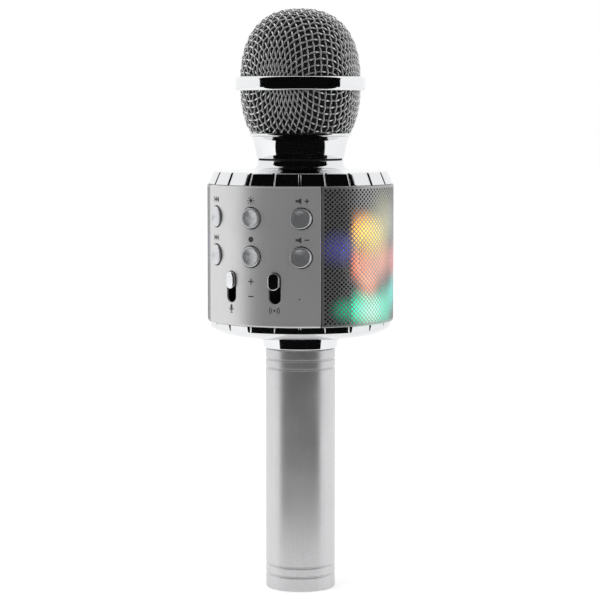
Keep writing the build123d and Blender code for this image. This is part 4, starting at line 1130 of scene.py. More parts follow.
@dataclass
class PunchedSheet:
    """A speaker's curved sheet with staggered round holes, each in a diamond of metal."""

    side: Side
    drum: Drum
    start: float = 43.7
    end: float = 157.6
    columns: int = 38
    rows: int = 30
    hole: float = 0.5
    corners: int = 10
    wall: float = 0.8
    rounds: tuple[float, float] = (0.25, 0.56)
    margins: tuple[float, float] = (0.6, 0.7)

    def build(self) -> None:
        """Lays diamonds over the unrolled sheet and wraps both faces.

        The holes stand at the middles and the corners of a grid of columns by rows. Each one's
        diamond has its four points half a step away, so the diamonds tile the sheet, and half
        diamonds without a hole finish its border.
        """
        turn = self.side.value * (self.start + self.end) / 2
        across, up = 2 * self.columns, 2 * self.rows
        full = np.array([self.drum.radius * math.radians(self.end - self.start), self.drum.top - self.drum.base])
        half = full / 2 - self.margins
        centre = np.array([0.0, self.drum.middle])
        low, high = centre - half, centre + half
        j, i = (part.ravel() for part in np.meshgrid(np.arange(up + 1), np.arange(across + 1), indexing="ij"))
        nodes = low + np.column_stack([i, j]) * (high - low) / [across, up]
        odd = (i + j) % 2 == 1
        border = (i == 0) | (j == 0) | (i == across) | (j == up)
        used = odd | border
        renumber = np.where(used, np.cumsum(used) - 1, -1)
        skin = Skin()
        u, z = nodes[used].T
        starts = tuple(skin.add(self.drum.wrap(u, z, depth, turn)) for depth in (0.0, self.wall))
        core = np.flatnonzero(~odd & ~border)
        width = across + 1
        around = renumber[np.stack([core + 1, core + width, core - 1, core - width])]
        self._holes(skin, nodes[core], around, starts, turn)
        loop, signs, ring = self.drum.border(low, high, across, up)
        self._borders(skin, ring, signs, renumber, starts)
        ends = (starts[0] + renumber[ring], starts[1] + renumber[ring])
        rims = np.array(self.margins) - self.rounds
        self.drum.close_edges(skin, loop, signs, self.rounds, self.wall, ends, turn, tuple(rims))
        side = self.side.name.lower()
        name = f"speaker_mesh_{side}"
        Fixing("mesh_steel", (name,)).fit(skin.piece(f"{name}_sheet", SHEET_STEEL, 50.0))

    def _holes(self, skin: Skin, middles: Array, around: Array, starts: tuple[int, int], turn: float) -> None:
        """Adds each hole's loop on both faces, its wall, and the metal between it and its diamond.

        Args:
            skin: Where they go.
            middles: (holes, 2) places of the holes on the unrolled sheet.
            around: (4, holes) numbers of each diamond's points, from the +u one round.
            starts: Number of the first diamond point on the outer and the inner face.
            turn: Azimuth of the sheet's middle.
        """
        count, holes = self.corners, len(middles)
        angle = (np.arange(count) + 0.5) * 2 * math.pi / count
        owner = np.round(angle / (math.pi / 2)).astype(int) % 4
        u = middles[:, 0][:, None] + self.hole * np.cos(angle)
        z = middles[:, 1][:, None] + self.hole * np.sin(angle)
        loops = []
        for depth, start, outward in ((0.0, starts[0], True), (self.wall, starts[1], False)):
            first = skin.add(self.drum.wrap(u.ravel(), z.ravel(), depth, turn))
            rim = first + np.arange(holes * count).reshape(holes, count)
            loops.append(rim)
            for k in range(count):
                ahead = (k + 1) % count
                one, two = start + around[owner[k]], start + around[owner[ahead]]
                if owner[k] == owner[ahead]:
                    rows = np.column_stack([rim[:, k], one, rim[:, ahead]])
                else:
                    rows = np.column_stack([rim[:, k], one, two, rim[:, ahead]])
                skin.join(rows if outward else rows[:, ::-1])
        top, bottom = loops
        for k in range(count):
            ahead = (k + 1) % count
            skin.join(np.column_stack([top[:, k], top[:, ahead], bottom[:, ahead], bottom[:, k]]))

    def _borders(self, skin: Skin, ring: Array, signs: Array, renumber: Array, starts: tuple[int, int]) -> None:
        """Adds the half diamonds along the border on both faces, and quarters at the corners.

        Args:
            skin: Where they go.
            ring: The border's grid numbers, once round from the low corner.
            signs: Outward signs of the same points.
            renumber: Number of each used grid point among the sheet's points.
            starts: Number of the first sheet point on the outer and the inner face.
        """
        before, after = np.roll(ring, 1), np.roll(ring, -1)
        corner = (signs != 0).all(axis=1)
        half = (np.arange(len(ring)) % 2 == 0) & ~corner
        apex = ring - signs @ [1, 2 * self.columns + 1]
        halves = [np.column_stack([before, ring, apex])[half], np.column_stack([ring, after, apex])[half]]
        rows = renumber[np.vstack([*halves, np.column_stack([before, ring, after])[corner]])]
        skin.join(starts[0] + rows, (starts[1] + rows)[:, ::-1])


@dataclass
class Buttons:
    """The front buttons, the two slide knobs and the rear power button."""

    drum: Drum
    radius: float = 4.15
    proud: float = 1.0
    rim: float = 0.45
    dish: tuple[float, float] = (3.3, 0.5)
    dish_rings: tuple[float, ...] = (0.25, 0.9, 1.6, 2.3, 2.9, 3.2, 3.3, 3.36)
    flange: tuple[float, float] = (28.19, 27.29)
    flange_reach: float = 0.8
    plunger: float = 23.99
    plunger_radius: float = 1.5
    side_share: float = 6.0
    knob: tuple[float, float] = (7.0, 4.6)
    knob_proud: float = 1.6
    knob_back: float = 26.4
    knob_stem: tuple[float, float, float] = (0.8, 1.5, 23.4)
    knob_height: float = 132.25
    columns: tuple[float, float, float] = (-31.3, 0.0, 31.3)
    rows: tuple[float, float] = (157.8, 142.15)
    names: tuple[tuple[str, str, str], ...] = (
        ("previous_button", "light_button", "volume_up_button"),
        ("next_button", "record_button", "volume_down_button"),
    )
    sliders: tuple[tuple[str, float], ...] = (("mic_volume_knob", -15.3), ("remix_knob", 15.3))
    power: tuple[float, float] = (163.65, 3.4)

    def build(self) -> None:
        """Builds every button on its own body."""
        for row, names in zip(self.rows, self.names):
            for azimuth, name in zip(self.columns, names):
                self._push(name, azimuth, row)
        for name, azimuth in self.sliders:
            self._slide(name, azimuth)
        self._power()

    def _push(self, name: str, azimuth: float, height: float) -> None:
        """A dished round button whose face lies along the drum and whose body runs along Y.

        A ring of radius q on the face is m + q (cos t e + sin t z), raised by the dish: a ball of
        radius (a^2 + d^2) / 2d takes d from the middle and nothing at the dish's rim a.
        """
        turn = full_turn(64)
        out = towards(azimuth)
        along = np.array([-out[1], out[0], 0.0])
        middle = out * self.drum.radius + np.array([0.0, -self.proud, height])
        width, depth = self.dish
        ball = (width**2 + depth**2) / (2 * depth)
        squeeze = abs(out[1])
        rings, shares = [], []
        for reach in (*self.dish_rings, self.radius - self.rim - 0.03, self.radius - self.rim):
            sink = math.sqrt(ball**2 - reach**2) - (ball - depth) if reach < width else 0.0
            rings.append(self._ring(middle - out * sink, along, reach, turn))
            shares.append(reach)
        for f in np.radians([18, 36, 54, 72, 90]):
            reach = self.radius - self.rim * (1 - math.sin(f))
            drop = np.array([0.0, self.rim * (1 - math.cos(f)) / squeeze, 0.0])
            rings.append(self._ring(middle + drop, along, reach, turn))
            shares.append(self.radius + self.rim * f * 0.3)
        front, rear = self.flange
        wide, thin = self.radius + self.flange_reach, self.plunger_radius
        steps = ((front + 0.02, self.radius), (front, wide), (rear, wide), (rear - 0.02, thin), (self.plunger, thin))
        for depth, half in steps:
            stretch = squeeze if half > thin else 1.0
            flat = [self.drum.radius * out[0], height] + half * on_circle(turn) * [stretch, 1.0]
            rings.append(np.column_stack([flat[:, 0], np.full(len(turn), -depth), flat[:, 1]]))
            shares.append(self.side_share)
        skin = Skin()
        skin.rings(np.array(rings))
        spots = np.array(shares)[:, None, None] / self.radius * 0.5 * on_circle(turn) + 0.5
        spots = np.vstack([spots.reshape(-1, 2), np.full((2, 2), 0.5)])
        piece = skin.piece(f"{name}_face", BUTTON_CHROME, 35.0, spots)
        Fixing("button_chrome", (name,), name).fit(piece)

    @staticmethod
    def _ring(middle: Array, along: Array, reach: float, turn: Array) -> Array:
        """A circle of a radius in the plane of a direction and Z."""
        flat = reach * np.outer(np.cos(turn), along)
        return middle + flat + np.outer(reach * np.sin(turn), [0.0, 0.0, 1.0])

    def _slide(self, name: str, azimuth: float) -> None:
        """A long knob with round ends, a slightly crowned top and a stem."""
        out = towards(azimuth)
        squeeze = abs(out[1])
        length, width = self.knob
        x0, y0 = self.drum.radius * out[0], self.drum.radius * out[1] - self.knob_proud
        shape = Opening(x0, self.knob_height, width / 2 * squeeze, length / 2, width / 2 * squeeze, 48)

        def ring(shrink: float, drop: float) -> Array:
            plan = shape.outline(-shrink)
            y = y0 - (plan[:, 0] - x0) * out[0] / out[1] + drop
            return np.column_stack([plan[:, 0], y, plan[:, 1]])

        top = ((2.1, 0.0), (1.8, 0.004), (1.3, 0.03), (0.9, 0.08), (0.65, 0.13))
        rings = [ring(shrink, drop) for shrink, drop in top]
        turns = np.radians([12, 30, 50, 70, 90])
        rings += [ring(0.62 - 0.62 * math.sin(f), 0.14 + 0.5 * (1 - math.cos(f))) for f in turns]
        deep = shape.outline()
        stem_x, stem_z, stem_end = self.knob_stem
        middle = np.array([x0, self.knob_height])
        stem = middle + (deep - middle) * [stem_x / shape.half_x, stem_z / shape.half_z]
        for plan, depth in ((deep, self.knob_back), (stem, self.knob_back - 0.02), (stem, stem_end)):
            rings.append(np.column_stack([plan[:, 0], np.full(len(plan), -depth), plan[:, 1]]))
        skin = Skin()
        skin.rings(np.array(rings))
        Fixing("button_chrome", (name,), name).fit(skin.piece(f"{name}_cap", KNOB_CHROME, 35.0))

    def _power(self) -> None:
        """The rear button: a slightly crowned round with a flange and plunger."""
        turn = full_turn(56)
        height, radius = self.power
        profile = [(0.3, 40.0), (1.4, 39.98), (2.3, 39.93), (radius - 0.52, 39.86), (radius - 0.5, 39.85)]
        turns = np.radians([20, 45, 70, 90])
        profile += [(radius - 0.5 * (1 - math.sin(f)), 39.35 + 0.5 * math.cos(f)) for f in turns]
        profile += [(radius, 36.82), (radius + 0.8, 36.8), (radius + 0.8, 35.9), (1.5, 35.88), (1.5, 31.0)]
        rings = [
            np.column_stack([-reach * np.cos(turn), np.full(56, y), height + reach * np.sin(turn)])
            for reach, y in profile
        ]
        spots = [on_circle(turn) * reach / radius * 0.5 + 0.5 for reach, _ in profile]
        skin = Skin()
        skin.rings(np.array(rings))
        piece = skin.piece("power_button_face", BUTTON_CHROME, 35.0, np.vstack([*spots, np.full((2, 2), 0.5)]))
        Fixing("button_chrome", ("power_button",), "power_button").fit(piece)


@dataclass
class Icons:
    """Plain printed signs on the control panel: arrows, a lamp, a dot, plus, minus and waves."""

    drum: Drum
    lift: float = 0.05
    sunk: float = 0.06
    size: float = 1.35
    upper: float = 164.9
    lower: float = 149.2

    def build(self) -> None:
        """Wraps each sign's flat shapes round the drum as thin prisms."""
        skin = Skin()
        signs = [
            (-31.3, self.upper, self.arrows(-1)), (-31.3, self.lower, self.arrows(1)),
            (0.0, self.upper, self.lamp()), (0.0, self.lower, [self.disc(0.85, 24)]),
            (31.3, self.upper, [*self.speaker(), *self.cross(1.75, 0.0, 0.7, True)]),
            (31.3, self.lower, [*self.speaker(), *self.cross(1.75, 0.0, 0.7, False)]),
            (0.0, 132.1, self.cross(0.0, 0.0, 0.9, True)), (0.0, 126.0, self.cross(0.0, 0.0, 0.9, False)),
            (-15.3, 120.6, self.microphone()), (15.3, 120.6, self.waves()),
        ]
        for azimuth, height, shapes in signs:
            for shape in shapes:
                self._prism(skin, np.asarray(shape, float) * self.size, azimuth, height)
        Fixing("panel_silver", ()).fit(skin.piece("panel_icons", INK, 30.0))

    def _prism(self, skin: Skin, shape: Array, azimuth: float, height: float) -> None:
        """A thin closed prism over a flat loop that can be filled from its middle."""
        count = len(shape)
        middle = shape.mean(axis=0)
        flat = np.vstack([shape, middle[None]])
        rim = np.arange(count)
        tops = np.column_stack([rim, np.roll(rim, -1), np.full(count, count)])
        u, z = flat[:, 0], flat[:, 1] + height
        top = skin.add(self.drum.wrap(u, z, -self.lift, azimuth), tops)
        low = skin.add(self.drum.wrap(u, z, self.sunk, azimuth), tops[:, ::-1])
        skin.bridge(low + rim, top + rim)

    @staticmethod
    def disc(radius: float, count: int, u: float = 0.0, z: float = 0.0) -> Array:
        """A round spot."""
        return [u, z] + radius * on_circle(full_turn(count))

    @staticmethod
    def bar(u: float, z: float, length: float, width: float, angle: float = 0.0) -> Array:
        """A short bar turned by an angle in radians."""
        along = np.array([math.cos(angle), math.sin(angle)]) * length / 2
        across = np.array([-math.sin(angle), math.cos(angle)]) * width / 2
        return np.array([u, z]) + np.array([-along - across, along - across, along + across, -along + across])

    def arrows(self, way: int) -> list[Array]:
        """Two triangles and a bar that point one way along the panel."""
        first = np.array([[0.0, -0.85], [1.3, 0.0], [0.0, 0.85]])
        shapes = [((first + [shift, 0.0]) * [way, 1])[::way] for shift in (-1.5, -0.15)]
        return [*shapes, self.bar(1.4 * way, 0.0, 0.3, 1.7)]

    def lamp(self) -> list[Array]:
        """A spot with eight rays."""
        rays = [self.bar(1.05 * math.cos(a), 1.05 * math.sin(a), 0.5, 0.2, a) for a in full_turn(8)]
        return [self.disc(0.55, 20), *rays]

    def speaker(self) -> list[Array]:
        """A small box with a flared mouth."""
        mouth = np.array([[-0.9, -0.35], [0.1, -0.95], [0.1, 0.95], [-0.9, 0.35]])
        return [self.bar(-1.3, 0.0, 0.7, 0.7), mouth]

    def cross(self, u: float, z: float, half: float, upright: bool) -> list[Array]:
        """A plus, or a minus where upright is off."""
        arm = 0.17
        if not upright:
            return [self.bar(u, z, 2 * half, 2 * arm)]
        quarter = np.array([[half, -arm], [half, arm], [arm, arm], [arm, half]])
        turns = [quarter @ np.array([[math.cos(a), math.sin(a)], [-math.sin(a), math.cos(a)]]) for a in full_turn(4)]
        points = np.vstack([turn[[0, 1, 2]] for turn in turns])
        return [points + [u, z]]

    def arc(self, radius: float, low: float, high: float, width: float = 0.24) -> list[Array]:
        """A bent line, as short pieces side by side."""
        ways = on_circle(np.radians(np.linspace(low, high, 9)))
        inner, outer = (radius - width / 2) * ways, (radius + width / 2) * ways
        return [np.array([inner[k], outer[k], outer[k + 1], inner[k + 1]]) for k in range(8)]

    def microphone(self) -> list[Array]:
        """A capsule on a stand."""
        head = Opening(0.0, 0.45, 0.42, 0.85, 0.42, 24).outline()
        cup = [shape + [0.0, 0.25] for shape in self.arc(0.85, 180, 360, 0.2)]
        return [head, *cup, self.bar(0.0, -0.9, 0.2, 0.55), self.bar(0.0, -1.2, 1.1, 0.2)]

    def waves(self) -> list[Array]:
        """A spot with two rings of waves on each side."""
        sides = [self.arc(radius, low, low + 80) for radius in (0.95, 1.55) for low in (-40, 140)]
        return [self.disc(0.32, 16), *[shape for side in sides for shape in side]]


@dataclass
class Head:
    """The woven wire ball on its neck: neck, rim, two wire nets, the band and the foam."""

    radius: float = 25.3
    height: float = 31.3
    power: float = 2.45
    equator: float = 212.3
    rim_top: float = 191.8
    pitch: float = 2.7
    wire: float = 0.335
    weave: float = 0.36
    inset: float = 0.73
    foam_inset: float = 1.5
    band: tuple[float, float] = (209.4, 215.2)
    band_radius: float = 27.2
    band_bore: float = 25.45
    band_roll: float = 1.456
    nodes: int = 19
    samples: int = 5
    lowest: float = -5.0
    shortest: int = 4

    def build(self) -> None:
        """Builds the pieces from the neck upwards."""
        self._neck()
        self._rim()
        self._foam()
        net = self._net()
        self._woven("grille_dome_wires", "grille_dome", net, 51.3, False)
        self._woven("grille_bowl_wires", "grille_bowl", net, 61.8, True)
        self._band()

    def _neck(self) -> None:
        """Turns the flared neck as a thick-walled funnel."""
        outer = [(18.1, 181.3), (18.5, 183.2), (18.85, 185.2), (19.25, 187.1), (19.85, 189.0), (20.6, 190.5)]
        curve = smooth_path(np.array(outer), 4)[1:]
        corners: list[Corner] = [(11.8, 181.3, 0.1), (*outer[0], 0.15), *((r, z, 0.0) for r, z in curve)]
        corners += [(20.6, 190.5, 0.1), (19.0, 190.5, 0.1), (17.2, 183.0, 0.5), (11.8, 183.0, 0.1)]
        turn_ring("neck_chrome", Fixing("chrome", ("neck_shell",)), CHROME, corners)

    def _rim(self) -> None:
        """Turns the bulged rim that the bowl stands in."""
        low, high = 190.55, self.rim_top
        corners = [(15.0, low, 0.0), (20.9, low, 0.1), (21.5, (low + high) / 2 - 0.1, 0.5)]
        corners += [(21.35, high, 0.3), (15.0, high, 0.0)]
        turn_ring("grille_rim_ring", Fixing("chrome", ("grille_rim",)), CHROME, corners)

    def _band(self) -> None:
        """Turns the broad band that joins the two nets: upright in the middle, its edges rolled in.

        A rolled edge is an arc that turns from upright by 63 degrees, which takes it 1.3 up and
        0.8 in.
        """
        low, high = self.band
        wide, roll, rise = self.band_radius, self.band_roll, 1.3
        turn = np.radians(np.linspace(0, 63.2, 9))
        edge = np.column_stack([wide - roll * (1 - np.cos(turn)), high - rise + roll * np.sin(turn)])
        lower = edge[::-1] * [1, -1] + [0, low + high]
        outer = np.vstack([lower, [[wide, low + 1.6], [wide, high - 1.6]], edge])
        bore = self.band_bore
        corners = [(bore, low, 0.1), *((r, z, 0.0) for r, z in outer), (bore, high, 0.1)]
        turn_ring("grille_band_ring", Fixing("chrome", ("grille_band",)), CHROME, corners, 192, 32.0)

    def _half_width(self, rise: Array, inset: float) -> Array:
        """Radius of the ball at a height above the equator: (r/R)^p + (z/H)^p = 1."""
        high, wide = self.height - inset, self.radius - inset
        return wide * np.clip(1 - np.clip(np.abs(rise) / high, 0, 1) ** self.power, 0, None) ** (1 / self.power)

    def _foam(self) -> None:
        """The foam fills the ball just inside the wires, and is flat on the rim."""
        inset = self.foam_inset
        high = self.height - inset
        angle = np.linspace(0, math.pi / 2, 28)
        rise = high * np.sin(angle) ** (2 / self.power)
        low = self.rim_top + 0.1 - self.equator
        below = np.linspace(low, 0, 22, endpoint=False)
        upper = np.column_stack([self._half_width(rise, inset), self.equator + rise])
        lower = np.column_stack([self._half_width(below, inset), self.equator + below])
        profile = np.vstack([[[0.0, lower[0, 1]]], lower, upper])
        profile[-1, 0] = 0.0
        skin = Skin()
        skin.lathe(profile, full_turn(96))
        piece = skin.piece("foam_windscreen", FOAM)
        Fixing("foam_black", ("foam_liner",)).fit(piece)

    def _meridian(self) -> tuple[Array, Array, Array]:
        """The ball's outline by its length from the top, carried on as a cylinder below."""
        high, wide = self.height - self.inset, self.radius - self.inset
        angle = np.linspace(math.pi / 2, 0, 4001)
        z = high * np.sin(angle) ** (2 / self.power)
        r = wide * np.cos(angle) ** (2 / self.power)
        length = np.concatenate([[0.0], np.cumsum(np.hypot(np.diff(r), np.diff(z)))])
        below = np.linspace(0, 60, 601)[1:]
        return np.append(length, length[-1] + below), np.append(r, np.full(600, wide)), np.append(z, -below)

    def _surface(self, spots: Array) -> Array:
        """Points of the ball for flat ones: their distance is the length down from the top."""
        length, r, z = self._meridian()
        away = np.hypot(spots[..., 0], spots[..., 1])
        reach, rise = np.interp(away, length, r), np.interp(away, length, z)
        way = spots / np.maximum(away, 1e-9)[..., None]
        return np.stack([reach * way[..., 0], reach * way[..., 1], rise], axis=-1)

    def _net(self) -> Array:
        """A cloth net laid on the ball, whose every mesh has four equal sides.

        The two middle wires run down great lines at right angles. Every other crossing is the
        point of the ball one pitch from both crossings before it, found by Newton's method for a
        whole diagonal of crossings at once. One quarter is worked out and turned three times.

        Returns:
            (2n + 1, 2n + 1, 3) crossings about the equator, with the top in the middle.
        """
        count = self.nodes
        flat = np.zeros((count + 1, count + 1, 2))
        spots = np.zeros((count + 1, count + 1, 3))
        reach = self._axis(count)
        flat[:, 0, 0] = reach
        flat[0, :, 1] = reach
        spots[:, 0], spots[0, :] = self._surface(flat[:, 0]), self._surface(flat[0, :])
        nudge = 1e-4
        for diagonal in range(2, 2 * count + 1):
            i = np.arange(max(1, diagonal - count), min(count, diagonal - 1) + 1)
            j = diagonal - i
            ends = (spots[i - 1, j], spots[i, j - 1])
            guess = flat[i - 1, j] + flat[i, j - 1] - flat[i - 1, j - 1]
            for _ in range(14):
                here = self._surface(guess)
                near = [((here - end) ** 2).sum(-1) for end in ends]
                slopes = []
                for shift in (np.array([nudge, 0.0]), np.array([0.0, nudge])):
                    moved = self._surface(guess + shift)
                    slopes += [(((moved - end) ** 2).sum(-1) - far) / nudge for end, far in zip(ends, near)]
                a, c, b, d = slopes
                p, q = (far - self.pitch**2 for far in near)
                scale = a * d - b * c
                scale = np.where(np.abs(scale) < 1e-3, 1e-3, scale)
                step = np.stack([d * p - b * q, a * q - c * p], -1) / scale[:, None]
                guess = guess - np.clip(step, -1.0, 1.0)
            flat[i, j] = guess
            spots[i, j] = self._surface(guess)
        full = np.full((2 * count + 1, 2 * count + 1, 3), np.nan)
        k = np.arange(count + 1)
        i, j = np.meshgrid(k, k, indexing="ij")
        for quarter in range(4):
            c, s = (1, 0, -1, 0)[quarter], (0, 1, 0, -1)[quarter]
            turned = spots @ np.array([[c, s, 0], [-s, c, 0], [0, 0, 1]], float)
            full[count + c * i - s * j, count + s * i + c * j] = turned
        return full

    def _axis(self, count: int) -> Array:
        """Lengths down the middle wire at which its crossings stand one pitch apart."""
        length, r, z = self._meridian()
        found = [0.0]
        for _ in range(count):
            away = np.hypot(r - np.interp(found[-1], length, r), z - np.interp(found[-1], length, z))
            later = length > found[-1]
            found.append(float(np.interp(self.pitch, away[later], length[later])))
        return np.array(found)

    def _woven(self, name: str, node: str, net: Array, azimuth: float, below: bool) -> None:
        """Runs a round wire along every row and column of the net, over and under by turns.

        Between two crossings a wire's rise above the ball goes as the cosine from over to under.
        The path is a Catmull-Rom curve through the crossings, and its tube has eight sides.

        Args:
            name: Name of the piece.
            node: CAD node that it stands for.
            net: Crossings about the equator.
            azimuth: Azimuth of the net's first middle wire.
            below: Whether this is the lower ball, which is the upper one upside down.
        """
        low, high = (-1.2, self.equator - self.rim_top - 0.15) if below else (-2.1, math.inf)
        skin = Skin()
        waves = np.cos(math.pi * np.linspace(0, 1, self.samples, endpoint=False))
        places = np.arange(2 * self.nodes + 1)
        for rows, first in ((net.swapaxes(0, 1), 1), (net, -1)):
            for line in places:
                row = rows[line]
                over = first * (-1.0) ** (places + line)
                for run in self._runs(np.isfinite(row[:, 2]) & (row[:, 2] > self.lowest)):
                    if len(run) < self.shortest:
                        continue
                    lift = self.weave * np.outer(over[run][:-1], waves).ravel()
                    self._tube(skin, smooth_path(row[run], self.samples), lift, low, high)
        points = np.vstack(skin.points)
        turn = math.radians(azimuth - 90)
        spin = np.array([[math.cos(turn), math.sin(turn), 0], [-math.sin(turn), math.cos(turn), 0], [0, 0, 1]])
        points = points @ spin
        if below:
            points[:, 2] *= -1
        points[:, 2] += self.equator
        skin.points = [points]
        Fixing("wire_chrome", (node,)).fit(skin.piece(name, WIRE, 60.0))

    @staticmethod
    def _runs(good: Array) -> list[Array]:
        """Unbroken runs of the places that are true."""
        places = np.flatnonzero(good)
        return np.split(places, np.flatnonzero(np.diff(places) > 1) + 1) if len(places) else []

    def _tube(self, skin: Skin, path: Array, lift: Array, low: float, high: float) -> None:
        """Adds a capped tube along the stretches of a path between two heights."""
        wide, tall = self.radius - self.inset, self.height - self.inset
        up = np.clip(path[:, 2], 0, None)
        reach = np.hypot(path[:, 0], path[:, 1])
        slope = (reach / wide) ** (self.power - 1) / wide
        sideways = path[:, :2] / np.maximum(reach, 1e-6)[:, None] * slope[:, None]
        out = np.column_stack([sideways, (up / tall) ** (self.power - 1) / tall])
        out /= np.linalg.norm(out, axis=1, keepdims=True)
        line = path + out * lift[:, None]
        cos, sin = on_circle(full_turn(8)).T[:, None, :, None]
        for run in self._runs((line[:, 2] > low) & (line[:, 2] < high)):
            if len(run) < self.shortest:
                continue
            middle, normal = line[run], out[run]
            along = np.gradient(middle, axis=0)
            along /= np.linalg.norm(along, axis=1, keepdims=True)
            side = np.cross(along, normal)
            side /= np.linalg.norm(side, axis=1, keepdims=True)
            normal = np.cross(side, along)
            skin.rings(middle[:, None] + self.wire * (normal[:, None] * cos + side[:, None] * sin))


# ------------------------------------------------------------------ kept CAD nodes

KEPT: dict[str, Finish] = {
    "end_cap": HANDLE_SILVER, "battery_sleeve": BLACK_PLASTIC, "battery_cell": CELL_WRAP,
    "battery_spring": STEEL, "battery_contact": STEEL, "handle_insert": BLACK_PLASTIC,
    "core_frame": CORE_BLACK, "core_lid": BLACK_PLASTIC, "button_carrier": BLACK_PLASTIC,
    "control_board": BOARD, "switch_housings": BLACK_PLASTIC, "switch_domes": STEEL,
    "slide_controls": STEEL, "light_chips": WHITE_CHIP, "main_board": BOARD,
    "power_switch": BLACK_PLASTIC, "usb_socket": SOCKET_STEEL, "card_socket": SOCKET_STEEL,
    "audio_jack": BLACK_PLASTIC, "charge_socket": SOCKET_STEEL, "neck_gasket": BLACK_RUBBER,
    "capsule": STEEL, "capsule_cradle": BLACK_RUBBER, "capsule_stem": BLACK_PLASTIC,
    "bottom_screws": STEEL, "top_screws": STEEL,
    **{f"light_guide_{side}": MILKY for side in ("left", "right")},
    **{f"light_board_{side}": BOARD for side in ("left", "right")},
    **{f"speaker_driver_{side}": STEEL for side in ("left", "right")},
    **{f"speaker_cone_{side}": PAPER for side in ("left", "right")},
}


def dress_kept_nodes(nodes: dict[str, bpy.types.Object]) -> None:
    """Gives every CAD node its finish, so that none shows its plain export colour.

    Args:
        nodes: The frame's nodes by name.
    """
    for name, node in nodes.items():
        if node.type != "MESH":
            continue
        finish = KEPT.get(name)
        if finish is None:
            continue
        material = finish.material()
        if not node.material_slots:
            node.data.materials.append(material)
        for place in node.material_slots:
            place.material = material
    LOG.info("finished %d kept nodes", len(KEPT))


# ------------------------------------------------------------------ studio


